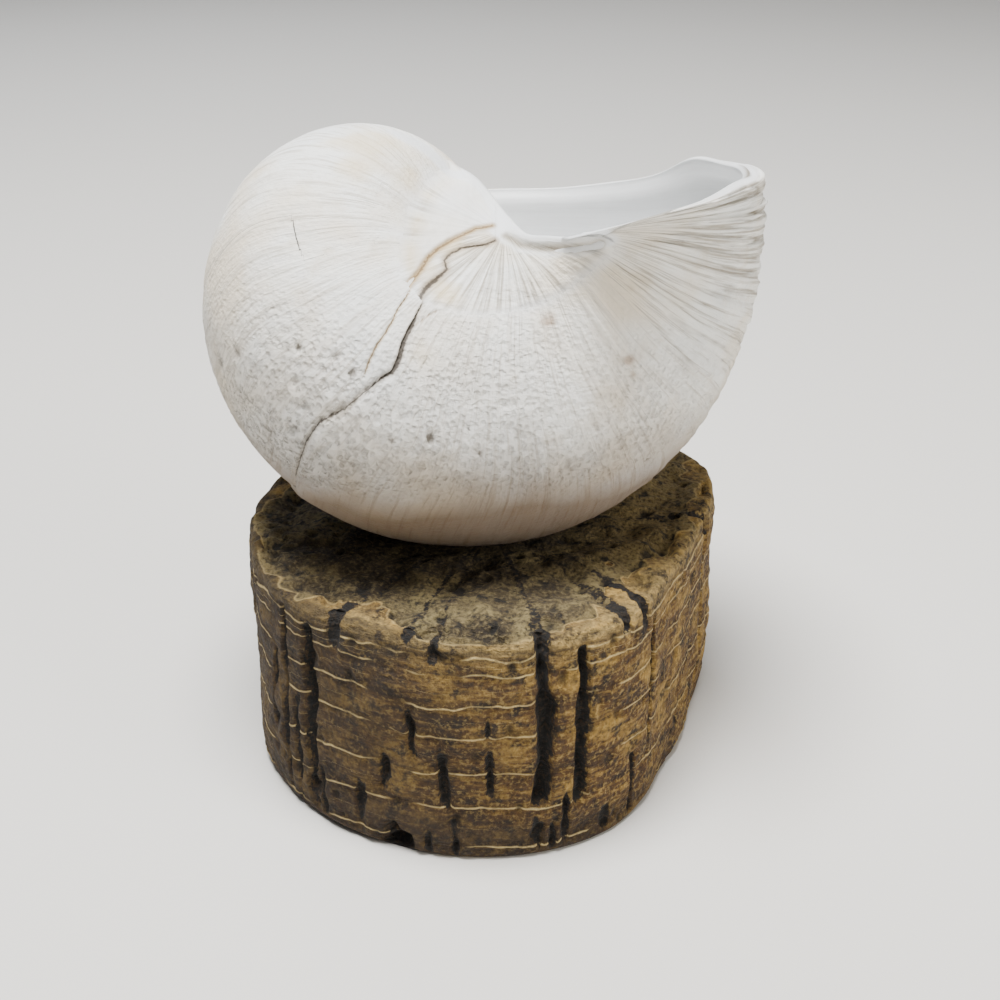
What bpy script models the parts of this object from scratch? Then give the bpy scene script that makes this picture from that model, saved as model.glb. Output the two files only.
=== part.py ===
"""A large moon snail shell lying mouth up on a rounded block of natural cork.

Blender 4.5, metres, +Z up. The base side of the shell faces -Y. The cork stands on z = 0, and the whole
thing is centred on the origin.
"""

import math

import bmesh
import bpy
import numpy as np
from mathutils import Vector, noise

MM = 0.001
TURN = 2 * math.pi

# Coiling of the shell. Growth angles are in radians: 0 is the lip, and older shell is negative.
SHELL_RADIUS = 74.8 * MM  # from the coiling axis to the outer edge of the mouth
GROWTH_PER_TURN = 2.81  # the whorl is this many times larger after each turn
LIP_SLOWING = 0.088  # share by which growth falls back at the lip
LIP_SLOWING_REACH = 1.53
OLDER_FULLNESS = 0.045  # the older whorl is this share larger than the spiral
OLDER_FROM = -3.2
OLDER_FULL = -6.2
AXIS_TO_APEX = Vector((-0.582, 0.703, -0.408))
MOUTH_DIRECTION = Vector((0.643, 0.706, 0.298))
APEX_AT = Vector((-38.2, 61.2, 83.6)) * MM
SHELL_SPREAD = 1.02  # the shell is this much wider along X than a regular coil

# Cross-section of the whorl, in shares of SHELL_RADIUS. Rho runs away from the axis, zeta towards the apex.
SECTION_RHO = 0.500
SECTION_ZETA = -0.874
SECTION_HALF_WIDTH = 0.522
SECTION_HALF_HEIGHT = 0.665
SECTION_TILT = -0.565
SECTION_SQUARENESS = 2.28
SECTION_EGG = -0.329
AXIS_CLEARANCE = 0.03
AXIS_SOFTNESS = 0.02
# How the section differs at the lip, fading out over LIP_FADE radians.
LIP_FADE = 0.8
LIP_NARROWER = -0.201
LIP_TALLER = 0.128
LIP_TILT = 0.352
LIP_RISE = 0.048

# The lip and the growth lines sweep forward and back round the section: cos and sin of 1, 2 and 3 turns.
LIP_SWEEP = (-0.248, 0.247, 0.064, -0.157, 0.016, 0.043)
OLD_SWEEP = (0.04, 0.20, 0.02, 0.09, -0.03, -0.09)
OLD_SWEEP_ENDS = -6.2
OLD_SWEEP_FULL = -4.0

# Wall, lip and relief of the shell.
WALL = 2.6 * MM
LIP_EDGE_WALL = 1.3 * MM
LIP_WALL_REACH = -0.12  # growth angle at which the wall has its full thickness
LIP_ROLL_REACH = -0.2  # growth angle at which the thick near lip has thinned to the wall
LIP_ROLL = 1.4  # thickness of the near lip's roll, in bevel depths
BEVEL_WIDTH = 0.055  # growth angle over which the thick lip rounds inwards
BEVEL_DEPTH = 1.5 * MM
BEVEL_CENTRE = 5.9  # angle round the section, where the lip is thickest
FAR_LIP_RELIEF = 0.35  # share of the ridges' height that is left on the far side of the section
RIDGES_END = -0.07  # growth angle past which the ridges sink into the bevel
RIDGE_ANGLES = (-0.09, -0.15, -0.21, -0.28, -0.36, -0.45)
RIDGE_HEIGHT = 0.55 * MM
RIDGE_WIDTH = 0.016
SCAR_ANGLE = -3.015
SCAR_STEP = 0.7 * MM
SCAR_FADE = 0.22
SCAR_GROOVE = 0.5 * MM
SCAR_GROOVE_WIDTH = 0.02
RELIEF_FADE = (0.10, 0.38)  # the relief dies away between these distances from the axis

# How far back the coil runs, and how far back it is hollow.
COIL_START = -15.4
HOLLOW_START = -5.1
SHELL_SIDES = 30
COLUMELLA_RADIUS = 0.055
COLUMELLA_SIDES = 12
# Rings of the columella: zeta, and share of its radius.
COLUMELLA_RINGS = ((-0.2, 0.3), (-0.4, 0.8), (-0.6, 0.8), (-0.72, 0.5))
ROLL_SIDES = 12
# Callus that runs from the older whorl over the umbilicus into the inner lip: middle and radius in mm.
CALLUS = (
    ((-22.0, 42.0, 121.0), 3.0),
    ((-15.0, 43.6, 119.8), 3.8),
    ((-11.5, 42.5, 113.5), 7.4),
    ((-8.5, 35.0, 108.0), 9.6),
    ((-2.0, 29.5, 109.3), 6.2),
    ((3.7, 17.5, 111.6), 3.0),
    ((9.1, 8.6, 114.0), 2.4),
    ((13.8, 2.2, 116.8), 1.6),
)
CALLUS_STEPS = 2  # rings for each stretch between two of these points

# Cork block.
CORK_HEIGHT = 50.0 * MM
CORK_CENTRE = Vector((-2.0, 28.0, 0.0)) * MM
# Radius of the block at its fullest, every 30 degrees from +X towards +Y.
CORK_RADII = [r * MM for r in (45, 56, 54, 51, 53, 53, 51, 51, 50.5, 50.5, 48.5, 42.5)]
CORK_COLUMNS = 48
RING_LEDGE = 0.35 * MM
RING_WAVE = 0.9 * MM
RING_HEIGHTS = [z * MM for z in (6.5, 12, 18, 24.5, 30.5, 36.5, 42)]
SEAT_AT = Vector((-5.3, 32.3)) * MM
SEAT_DEPTH = 2.6 * MM
SEAT_RADIUS = 34 * MM
SEAT_GAP = 0.35 * MM
LUMP_HEIGHT = 0.7 * MM
# Upright dark channels: bearing in degrees, lower end, upper end and width in mm, depth in mm.
CHANNELS = (
    (228, 8, 44, 4.5, 3.2),
    (248, 24, 32, 3.6, 2.4),
    (262, 12, 24, 2.6, 2.0),
    (283, 10, 50, 4.4, 3.6),
    (295, 9, 44, 4.0, 3.0),
    (322, 18, 45, 3.0, 2.4),
    (60, 10, 40, 4.0, 3.0),
    (110, 14, 44, 4.4, 3.2),
    (150, 6, 34, 3.6, 2.6),
    (190, 12, 42, 4.0, 3.0),
)
SIDE_CRACK_BEARING = 2
SIDE_CRACK_WIDTH = 3.4 * MM
SIDE_CRACK_DEPTH = 5.0 * MM
SIDE_CRACK_FROM = 9 * MM  # height at which the side crack starts
CHANNEL_STEP = 2.6  # degrees from a channel's middle to the points on its edges
TOP_SHARES = (0.97, 0.85, 0.66, 0.42, 0.18)  # rings of the top, as shares of the flank's radius


def smoothstep(low, high, value):
    x = np.clip((value - low) / (high - low), 0.0, 1.0)
    return x * x * (3 - 2 * x)


def sweep(harmonics, around):
    """Growth angle by which a growth line leads or lags at this place round the section."""
    total = 0.0
    for i, (cos_part, sin_part) in enumerate(zip(harmonics[::2], harmonics[1::2]), start=1):
        total = total + cos_part * np.cos(i * around) + sin_part * np.sin(i * around)
    return total


def growth_line(start, around):
    """Growth angles of the points of the growth line whose mean growth angle is start."""
    at_lip = math.exp(start / LIP_FADE)
    older = (1 - at_lip) * float(smoothstep(OLD_SWEEP_ENDS, OLD_SWEEP_FULL, start))
    return start + at_lip * sweep(LIP_SWEEP, around) + older * sweep(OLD_SWEEP, around)


def whorl_scale(angle):
    slowing = 1 - LIP_SLOWING * np.exp(np.minimum(angle, 1.0) / LIP_SLOWING_REACH)
    fullness = 1 + OLDER_FULLNESS * smoothstep(-OLDER_FROM, -OLDER_FULL, -angle)
    return SHELL_RADIUS * GROWTH_PER_TURN ** (angle / TURN) * slowing * fullness


def section(around, angle):
    """Rho and zeta of the whorl's outer surface. Around is 0 at the periphery and pi / 2 at the shoulder."""
    near_lip = np.exp(np.minimum(angle, 1.0) / LIP_FADE)
    cos, sin = np.cos(around), np.sin(around)
    power = SECTION_SQUARENESS
    reach = (np.abs(cos) ** power + np.abs(sin) ** power) ** (-1 / power)
    wide = SECTION_HALF_WIDTH * (1 + LIP_NARROWER * near_lip) * reach * cos
    tall = SECTION_HALF_HEIGHT * (1 + LIP_TALLER * near_lip) * reach * sin * (1 + SECTION_EGG * cos)
    tilt = SECTION_TILT + LIP_TILT * near_lip
    rho = SECTION_RHO + wide * np.cos(tilt) - tall * np.sin(tilt)
    zeta = SECTION_ZETA + LIP_RISE * near_lip + wide * np.sin(tilt) + tall * np.cos(tilt)
    past = rho - AXIS_CLEARANCE
    return AXIS_CLEARANCE + (past + np.sqrt(past**2 + AXIS_SOFTNESS**2)) / 2, zeta


def shell_axes():
    """Unit vectors away from the axis at the mouth, along the growth, and along the axis to the apex."""
    axis = AXIS_TO_APEX.normalized()
    outward = (MOUTH_DIRECTION - MOUTH_DIRECTION.dot(axis) * axis).normalized()
    return np.array([outward, axis.cross(outward), axis])


def coil_points(rho, zeta, angle):
    """World points from distances to the coiling axis and along it, in metres, at these growth angles."""
    local = np.stack([rho * np.cos(angle), -rho * np.sin(angle), zeta], axis=-1)
    return local @ shell_axes() * (SHELL_SPREAD, 1, 1) + np.array(APEX_AT)


def inset_outline(rho, zeta, distance):
    """The closed outline moved inwards, square to itself, by a distance for each point."""
    along_rho = np.roll(rho, -1) - np.roll(rho, 1)
    along_zeta = np.roll(zeta, -1) - np.roll(zeta, 1)
    length = np.hypot(along_rho, along_zeta) + 1e-12
    return rho - along_zeta / length * distance, zeta + along_rho / length * distance


def lip_bevel(around):
    """1 where the lip is thickest, falling to 0 on its thin far side."""
    return 0.5 + 0.5 * np.cos(around - BEVEL_CENTRE)


def relief(growth, around):
    """Height of the growth ridges, the healed scar and the rounded lip over the smooth whorl."""
    basal = FAR_LIP_RELIEF + (1 - FAR_LIP_RELIEF) * lip_bevel(around)
    ridges = sum(np.exp(-(((growth - a) / RIDGE_WIDTH) ** 2)) for a in RIDGE_ANGLES)
    past_scar = growth - SCAR_ANGLE
    step = SCAR_STEP * np.exp(-np.abs(past_scar) / SCAR_FADE) * (past_scar > 0.005)
    groove = SCAR_GROOVE * np.exp(-((past_scar / SCAR_GROOVE_WIDTH) ** 2))
    bevel = BEVEL_DEPTH * lip_bevel(around) * smoothstep(-BEVEL_WIDTH, 0.0, growth) ** 2
    return RIDGE_HEIGHT * ridges * basal * smoothstep(0.0, RIDGES_END, growth) + step - groove - bevel


def whorl_ring(growth, inset=None):
    """One ring of points along a growth line, on the outer surface or at an inset from it."""
    around = np.linspace(0, TURN, SHELL_SIDES, endpoint=False)
    angle = growth_line(growth, around)
    rho, zeta = section(around, angle)
    scale = whorl_scale(angle)
    if inset is None:
        inset = -relief(growth, around) * smoothstep(*RELIEF_FADE, rho)
    rho, zeta = inset_outline(rho * scale, zeta * scale, inset)
    return coil_points(rho, zeta, angle)


def mesh_from_rings(name, rings):
    """A closed mesh through rings of equal size, with a fan over each end."""
    mesh = bmesh.new()
    rows = [[mesh.verts.new(Vector(point)) for point in ring] for ring in rings]
    for row, following in zip(rows, rows[1:]):
        for i in range(len(row)):
            j = (i + 1) % len(row)
            mesh.faces.new((row[i], row[j], following[j], following[i]))
    for row in (rows[0], rows[-1]):
        middle = sum((vert.co for vert in row), Vector()) / len(row)
        centre = mesh.verts.new(middle)
        for i in range(len(row)):
            mesh.faces.new((row[i], row[(i + 1) % len(row)], centre))
    bmesh.ops.recalc_face_normals(mesh, faces=mesh.faces)
    bmesh.ops.triangulate(mesh, faces=mesh.faces)
    data = bpy.data.meshes.new(name)
    mesh.to_mesh(data)
    mesh.free()
    data.shade_smooth()
    thing = bpy.data.objects.new(name, data)
    bpy.context.scene.collection.objects.link(thing)
    return thing


def coil_rings():
    """The whole coil: its outside from the tip to the lip, then its inside back into the dark."""
    outside = list(np.arange(COIL_START, -6.5, 0.5)) + list(np.arange(-6.4, -0.5, 0.18))
    outside += [SCAR_ANGLE - 0.02, SCAR_ANGLE, SCAR_ANGLE + 0.03, SCAR_ANGLE + 0.09]
    outside += list(np.arange(-0.48, -0.07, 0.03)) + [-0.055, -0.035, -0.015, 0.0]
    rings = [whorl_ring(growth) for growth in sorted(outside)]
    around = np.linspace(0, TURN, SHELL_SIDES, endpoint=False)
    for growth in [-0.006, -0.04, -0.12] + list(np.arange(-0.35, HOLLOW_START, -0.33)):
        wall = LIP_EDGE_WALL + (WALL - LIP_EDGE_WALL) * smoothstep(0.0, LIP_WALL_REACH, growth)
        wall = wall + LIP_ROLL * BEVEL_DEPTH * lip_bevel(around) * smoothstep(LIP_ROLL_REACH, 0.0, growth)
        rings.append(whorl_ring(growth, wall))
    return rings


def columella_rings():
    """A solid pillar along the coiling axis, which closes the hollow between the whorls."""
    around = np.linspace(0, TURN, COLUMELLA_SIDES, endpoint=False)
    rings = []
    for zeta, share in COLUMELLA_RINGS:
        rho = np.full_like(around, COLUMELLA_RADIUS * share * SHELL_RADIUS)
        rings.append(coil_points(rho, np.full_like(around, zeta * SHELL_RADIUS), around))
    return rings


def curve_point(points, place):
    """Point of the smooth curve through these points, at place 0 to len(points) - 1."""
    i = min(int(place), len(points) - 2)
    x = place - i
    a, b, c, d = (points[min(max(i + k, 0), len(points) - 1)] for k in (-1, 0, 1, 2))
    return b + 0.5 * x * (c - a + x * (2 * a - 5 * b + 4 * c - d + x * (3 * (b - c) + d - a)))


def callus_rings():
    """A bent, tapering roll with round sections."""
    middles = [Vector(middle) * MM for middle, _ in CALLUS]
    radii = [radius * MM for _, radius in CALLUS]
    rings = []
    for step in range(CALLUS_STEPS * (len(CALLUS) - 1) + 1):
        place = step / CALLUS_STEPS
        middle = curve_point(middles, place)
        along = curve_point(middles, place + 0.05) - curve_point(middles, place - 0.05)
        side = along.cross(Vector((0, 0, 1))).normalized()
        up = side.cross(along).normalized()
        radius = curve_point(radii, place)
        turns = [TURN * i / ROLL_SIDES for i in range(ROLL_SIDES)]
        rings.append([middle + (side * math.cos(t) + up * math.sin(t)) * radius for t in turns])
    return rings


def material(name, colour, roughness):
    made = bpy.data.materials.new(name)
    made.use_nodes = True
    shader = made.node_tree.nodes["Principled BSDF"]
    shader.inputs["Base Color"].default_value = (*colour, 1.0)
    shader.inputs["Roughness"].default_value = roughness
    shader.inputs["Metallic"].default_value = 0.0
    return made


def make_shell():
    shell = mesh_from_rings("moon_snail_shell", coil_rings())
    # The whorls overlap one another, so the union also settles the coil's own crossings.
    for name, rings in (("columella", columella_rings()), ("callus", callus_rings())):
        helper = mesh_from_rings(name, rings)
        helper.hide_render = True
        helper.display_type = "WIRE"
        union = shell.modifiers.new("Join " + name, "BOOLEAN")
        union.operation = "UNION"
        union.solver = "EXACT"
        union.use_self = True
        union.object = helper
    shell.data.materials.append(material("weathered shell", (0.79, 0.77, 0.73), 0.75))
    return shell


def cork_radius(bearing):
    """Radius of the block at this bearing, in degrees: a smooth closed curve through CORK_RADII."""
    place = (bearing % 360) / 30
    i = int(place)
    x = place - i
    a, b, c, d = (CORK_RADII[(i + k) % 12] for k in (-1, 0, 1, 2))
    return b + 0.5 * x * (c - a + x * (2 * a - 5 * b + 4 * c - d + x * (3 * (b - c) + d - a)))


def bearing_gap(bearing, other):
    return (bearing - other + 180) % 360 - 180


def cork_profile(height):
    """Share of the full radius at this height: a barrel with a rounded foot and a softly rounded rim."""
    share = height / CORK_HEIGHT
    foot = 0.03 * math.exp(-share / 0.02)
    rim = 0.10 * math.exp(-(1 - share) / 0.09)
    belly = 0.03 * (share - 0.5) ** 2
    return 1 - foot - rim - belly


def cork_dent(bearing, height, radius):
    """Depth of the channels and of the side crack at this place on the flank."""
    depth = 0.0
    for at, low, high, width, deep in CHANNELS:
        off = abs(math.radians(bearing_gap(bearing, at)) * radius) / (0.5 * width * MM)
        ends = min((height / MM - low) / 2, (high - height / MM) / 2, 1.0)
        if off < 1 and ends > 0:
            depth = max(depth, deep * MM * (1 - off**2) * ends)
    off = abs(math.radians(bearing_gap(bearing, SIDE_CRACK_BEARING)) * radius) / (0.5 * SIDE_CRACK_WIDTH)
    if off < 1 and height > SIDE_CRACK_FROM:
        depth = max(depth, SIDE_CRACK_DEPTH * (1 - off))
    return depth


def lump(point, size, height):
    return height * noise.noise(Vector(point) / size)


def cork_point(bearing, share, height):
    """A point of the block at this share of the flank's radius. Share is 1 on the flank."""
    flank = cork_radius(bearing) * cork_profile(min(height, CORK_HEIGHT))
    radius = flank * share
    if share > 0.999:
        radius -= cork_dent(bearing, height, flank)
    turn = math.radians(bearing)
    direction = Vector((math.cos(turn), math.sin(turn), 0))
    point = CORK_CENTRE + direction * radius + Vector((0, 0, height))
    if height > 1 * MM and share > 0.999:
        point += direction * lump(point, 17 * MM, LUMP_HEIGHT)
        settled = 4 * (height / CORK_HEIGHT) * (1 - height / CORK_HEIGHT)
        point.z += lump(direction * CORK_HEIGHT, 21 * MM, RING_WAVE) * settled
    return point


def cork_top(bearing, share):
    """A point of the granular, gently dished top."""
    point = cork_point(bearing, share, CORK_HEIGHT)
    from_seat = (Vector((point.x, point.y)) - SEAT_AT).length
    dish = SEAT_DEPTH * (1 - float(smoothstep(4 * MM, SEAT_RADIUS, from_seat)))
    rough = float(smoothstep(12 * MM, 22 * MM, from_seat))
    point.z += lump(point, 6 * MM, LUMP_HEIGHT) * rough - dish - 0.3 * MM * share
    return point


def cork_rings():
    """Rings from the flat foot up the flank, over the rim and in to the middle of the dished top."""
    bearings = [360 * i / CORK_COLUMNS for i in range(CORK_COLUMNS)]
    fixed = [at for at, *_ in CHANNELS] + [SIDE_CRACK_BEARING]
    half_step = 180 / CORK_COLUMNS
    bearings = [b for b in bearings if all(abs(bearing_gap(b, at)) > half_step * 1.25 for at in fixed)]
    for at in fixed:
        bearings += [at - CHANNEL_STEP, at, at + CHANNEL_STEP]
    bearings = sorted(b % 360 for b in bearings)
    rings = [[cork_point(b, 0.985, 0.0) for b in bearings]]
    heights = [1.2 * MM, 3.4 * MM]
    for ledge in RING_HEIGHTS:
        heights += [ledge - 0.5 * MM, ledge + 0.7 * MM]
    heights += [46 * MM, 48.6 * MM]
    for height in heights:
        ring = [cork_point(b, 1.0, height) for b in bearings]
        if any(abs(height - ledge - 0.7 * MM) < 1e-6 for ledge in RING_HEIGHTS):
            ring = [push_in(point, RING_LEDGE) for point in ring]
        rings.append(ring)
    for share in TOP_SHARES:
        rings.append([cork_top(b, share) for b in bearings])
    return rings


def push_in(point, distance):
    inward = Vector((CORK_CENTRE.x - point.x, CORK_CENTRE.y - point.y, 0)).normalized()
    return point + inward * distance


def make_cork():
    cork = mesh_from_rings("cork_stand", cork_rings())
    cork.data.materials.append(material("weathered cork", (0.36, 0.25, 0.13), 0.9))
    return cork


def world_points(thing):
    graph = bpy.context.evaluated_depsgraph_get()
    evaluated = thing.evaluated_get(graph)
    mesh = evaluated.to_mesh()
    points = np.array([vert.co[:] for vert in mesh.vertices])
    evaluated.to_mesh_clear()
    return points


def seat_shell(shell):
    """Height change that leaves SEAT_GAP between the shell's lowest point and the cork under it."""
    lowest = world_points(shell)[:, 2].min()
    return CORK_HEIGHT - SEAT_DEPTH + SEAT_GAP - lowest


def main():
    for thing in list(bpy.data.objects):
        bpy.data.objects.remove(thing, do_unlink=True)
    shell = make_shell()
    cork = make_cork()
    rise = seat_shell(shell)
    points = world_points(shell) + np.array((0, 0, rise))
    points = np.vstack([points, world_points(cork)])
    low, high = points.min(axis=0), points.max(axis=0)
    shift = Vector((-(low[0] + high[0]) / 2, -(low[1] + high[1]) / 2, -low[2]))
    helpers = [modifier.object for modifier in shell.modifiers]
    for thing in [shell] + helpers:
        thing.location = shift + Vector((0, 0, rise))
    cork.location = shift


main()
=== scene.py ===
"""The looks of a weathered moon snail shell that lies mouth up on a block of natural cork.

The shell is one coiled tube. Every point of it has a growth angle, 0 at the lip and negative towards the tip,
and a place round the whorl's section, 0 at the outermost edge. The cork is one block, worked out by bearing
and height. Lengths are in metres, in the same frame as the solids.
"""

import itertools
import math

import bmesh
import bpy
import numpy as np
from bpy.props import FloatProperty, FloatVectorProperty, IntProperty, PointerProperty
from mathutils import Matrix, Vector
from mathutils.bvhtree import BVHTree


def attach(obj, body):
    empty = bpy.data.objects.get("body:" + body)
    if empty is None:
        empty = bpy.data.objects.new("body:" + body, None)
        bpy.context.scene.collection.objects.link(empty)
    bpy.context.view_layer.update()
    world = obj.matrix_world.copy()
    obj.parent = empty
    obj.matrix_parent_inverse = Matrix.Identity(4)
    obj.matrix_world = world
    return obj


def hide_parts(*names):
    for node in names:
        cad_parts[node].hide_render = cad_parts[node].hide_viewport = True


bl_info = {
    "name": "Moon snail shell on cork",
    "version": (1, 0, 0),
    "blender": (4, 5, 0),
    "location": "3D View > Sidebar > Shell",
    "description": "Builds a weathered moon snail shell, its cork block and a plain stage",
    "category": "Add Mesh",
}

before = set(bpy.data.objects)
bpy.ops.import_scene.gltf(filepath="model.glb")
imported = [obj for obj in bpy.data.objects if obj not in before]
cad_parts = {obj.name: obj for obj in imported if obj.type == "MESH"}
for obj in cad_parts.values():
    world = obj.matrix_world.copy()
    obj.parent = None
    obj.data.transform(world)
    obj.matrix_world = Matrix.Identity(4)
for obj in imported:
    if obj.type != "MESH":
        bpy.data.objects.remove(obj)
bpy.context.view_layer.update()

MM = 0.001
TURN = 2 * math.pi


def linear(hex_colour):
    """Linear RGBA of an sRGB hex colour."""
    parts = [int(hex_colour[i : i + 2], 16) / 255 for i in (1, 3, 5)]
    return tuple(p / 12.92 if p <= 0.04045 else ((p + 0.055) / 1.055) ** 2.4 for p in parts) + (1.0,)


# ---------------------------------------------------------------- settings


def colour_property(name, description, hex_colour):
    return FloatVectorProperty(
        name=name, description=description, subtype="COLOR", size=4, default=linear(hex_colour)
    )


class ShellSettings(bpy.types.PropertyGroup):
    radius: FloatProperty(
        name="Radius",
        description="From the coiling axis to the outer edge of the mouth",
        default=74.8 * MM,
        unit="LENGTH",
    )
    growth_per_turn: FloatProperty(
        name="Growth per turn",
        description="How many times larger the whorl is after each turn",
        default=2.81,
    )
    wall: FloatProperty(
        name="Wall",
        description="Thickness of the shell wall away from the lip",
        default=2.6 * MM,
        unit="LENGTH",
    )
    ridge_height: FloatProperty(
        name="Ridge height",
        description="Height of the growth ridges beside the lip",
        default=2.1 * MM,
        unit="LENGTH",
    )
    pit_depth: FloatProperty(
        name="Pit depth", description="Depth of the largest worn pits", default=0.75 * MM, unit="LENGTH"
    )
    sides: IntProperty(name="Sides", description="Points round each growth line", default=214)
    chalk: colour_property("Chalk", "Colour of the worn outside", "#F1F1EC")
    callus: colour_property("Callus", "Colour of the smooth callus and inside", "#E9EBEC")
    stain: colour_property("Stain", "Colour of the grime in cracks", "#9A7A4C")


class CorkSettings(bpy.types.PropertyGroup):
    height: FloatProperty(name="Height", description="Height of the block", default=50 * MM, unit="LENGTH")
    channel_depth: FloatProperty(
        name="Channel depth",
        description="Share of each channel's full depth",
        default=1.0,
        subtype="FACTOR",
    )
    bark: colour_property("Bark", "Main colour of the cut sides", "#563A12")
    ring: colour_property("Ring lines", "Colour of the hard ring lines", "#CBB37A")
    crumb: colour_property("Crumb", "Colour of the crumbly channels", "#0C0A08")


class StageSettings(bpy.types.PropertyGroup):
    floor: colour_property("Floor", "Colour of the floor", "#D9D6D0")
    light: FloatProperty(name="Light", description="Strength of the main light", default=24.0, unit="POWER")


# ---------------------------------------------------------------- noise and curves


def smoothstep(low, high, value):
    x = np.clip((value - low) / (high - low), 0.0, 1.0)
    return x * x * (3 - 2 * x)


def bell(value, width):
    """1 where the value is 0, falling smoothly to about a third at this width."""
    return np.exp(-((value / width) ** 2))


def unit(vector):
    return vector / np.linalg.norm(vector)


def hashed(cells, seed):
    """A number from 0 to 1 for each whole-number cell."""
    mixed = cells[..., 0] * 73856093 ^ cells[..., 1] * 19349663 ^ cells[..., 2] * 83492791 ^ (seed * 2654435)
    mixed = (mixed ^ (mixed >> 13)) * 1274126177 & 0x7FFFFFFF
    mixed = (mixed ^ (mixed >> 11)) * 1103515245 & 0x7FFFFFFF
    return ((mixed ^ (mixed >> 16)) & 0xFFFFF) / 0xFFFFF


def noise(points, size, seed=0):
    """Smooth noise from -1 to 1, with lumps of this size."""
    scaled = points / size
    cell = np.floor(scaled).astype(np.int64)
    part = scaled - cell
    ease = part * part * part * (part * (part * 6 - 15) + 10)
    total = 0.0
    for corner in itertools.product((0, 1), repeat=3):
        weight = np.prod(np.where(corner, ease, 1 - ease), axis=-1)
        total = total + weight * (2 * hashed(cell + np.array(corner), seed) - 1)
    return total


def rough_noise(points, size, layers=3, seed=0):
    """Noise with finer and lower layers on top."""
    return sum(noise(points, size / 2**k, seed + k) / 2**k for k in range(layers))


def pits(points, spacing, share, seed=0):
    """0 to 1 in round pits. This share of the cells hold one each, 0.25 to 0.6 of the cell in radius."""
    scaled = points / spacing
    cell = np.floor(scaled).astype(np.int64)
    deepest = np.zeros(points.shape[:-1])
    for step in itertools.product((-1, 0, 1), repeat=3):
        at = cell + np.array(step)
        middle = at + np.stack([hashed(at, seed + k) for k in (1, 2, 3)], axis=-1)
        reach = 0.25 + 0.35 * hashed(at, seed + 4)
        near = 1 - np.sum((scaled - middle) ** 2, axis=-1) / reach**2
        filled = hashed(at, seed + 5) < share
        deepest = np.maximum(deepest, np.where(filled, np.maximum(near, 0) ** 1.5, 0))
    return deepest


def between(a, b, c, d, x):
    """Share x of the way from b to c, on a smooth curve that runs through all four."""
    return b + 0.5 * x * (c - a + x * (2 * a - 5 * b + 4 * c - d + x * (3 * (b - c) + d - a)))


def curve_point(points, place):
    """Point of the smooth curve through these points, at place 0 to len(points) - 1."""
    i = min(int(place), len(points) - 2)
    return between(*(points[min(max(i + k, 0), len(points) - 1)] for k in (-1, 0, 1, 2)), place - i)


def distance_to_line(points, corners):
    """Distance of every point to a bent line."""
    nearest = np.full(points.shape[:-1], np.inf)
    for start, end in zip(corners, corners[1:]):
        along = end - start
        share = np.clip(((points - start) @ along) / (along @ along), 0, 1)
        nearest = np.minimum(nearest, np.linalg.norm(points - start - share[..., None] * along, axis=-1))
    return nearest


# ---------------------------------------------------------------- meshes


def add_object(name, data):
    thing = bpy.data.objects.new(name, data)
    bpy.context.scene.collection.objects.link(thing)
    return thing


def grid_mesh(name, points, keep=None, masks=None, cap_start=False, cap_end=False):
    """A smooth mesh from rows of points that close on themselves. Masks are stored as vertex attributes."""
    rows, columns = points.shape[:2]
    index = np.arange(rows * columns).reshape(rows, columns)
    following = np.roll(index, -1, axis=1)
    quads = np.stack([index[:-1], following[:-1], following[1:], index[1:]], axis=-1).reshape(-1, 4)
    if keep is not None:
        quads = quads[keep.reshape(-1)[quads].any(axis=1)]
    faces = quads.tolist()
    verts = points.reshape(-1, 3)
    extra = []
    for wanted, row, flip in ((cap_start, 0, True), (cap_end, rows - 1, False)):
        if not wanted:
            continue
        tip = len(verts) + len(extra)
        extra.append((points[row].mean(axis=0), index[row, 0]))
        ring = index[row][:: -1 if flip else 1]
        faces += [(int(a), int(b), tip) for a, b in zip(ring, np.roll(ring, -1))]
    if extra:
        verts = np.vstack([verts, [middle for middle, _ in extra]])
    data = bpy.data.meshes.new(name)
    data.from_pydata(verts.tolist(), [], faces)
    for mask_name, values in (masks or {}).items():
        kind = "FLOAT_VECTOR" if values.ndim == 3 else "FLOAT"
        flat = values.reshape(rows * columns, -1)
        flat = np.vstack([flat] + [flat[like : like + 1] for _, like in extra]).ravel()
        layer = data.attributes.new(mask_name, kind, "POINT")
        layer.data.foreach_set("vector" if kind == "FLOAT_VECTOR" else "value", flat.astype(np.float32))
    thing = add_object(name, data)
    drop_loose_points(data)
    data.shade_smooth()
    return thing


def surface_tree(thing):
    """The surface of a piece, to cast rays at and to find the nearest point on."""
    corners = [vert.co.copy() for vert in thing.data.vertices]
    return BVHTree.FromPolygons(corners, [tuple(face.vertices) for face in thing.data.polygons])


def drop_loose_points(data):
    """Removes the points that no face uses."""
    mesh = bmesh.new()
    mesh.from_mesh(data)
    loose = [vert for vert in mesh.verts if not vert.link_faces]
    bmesh.ops.delete(mesh, geom=loose, context="VERTS")
    bmesh.ops.recalc_face_normals(mesh, faces=mesh.faces)
    mesh.to_mesh(data)
    mesh.free()


def link_to_part(thing, node):
    """Makes the piece stand for its solid, and ride with the part."""
    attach(thing, "root")
    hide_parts(node)


# ---------------------------------------------------------------- the shell's form

AXIS_TO_APEX = np.array((-0.582, 0.703, -0.408))
MOUTH_DIRECTION = np.array((0.643, 0.706, 0.298))
APEX_AT = np.array((-34.7, 28.08, 83.87)) * MM
SHELL_SPREAD = 1.02

LIP_SLOWING = 0.088
LIP_SLOWING_REACH = 1.53
OLDER_FULLNESS = 0.045
OLDER_FROM = -3.2
OLDER_FULL = -6.2

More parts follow.
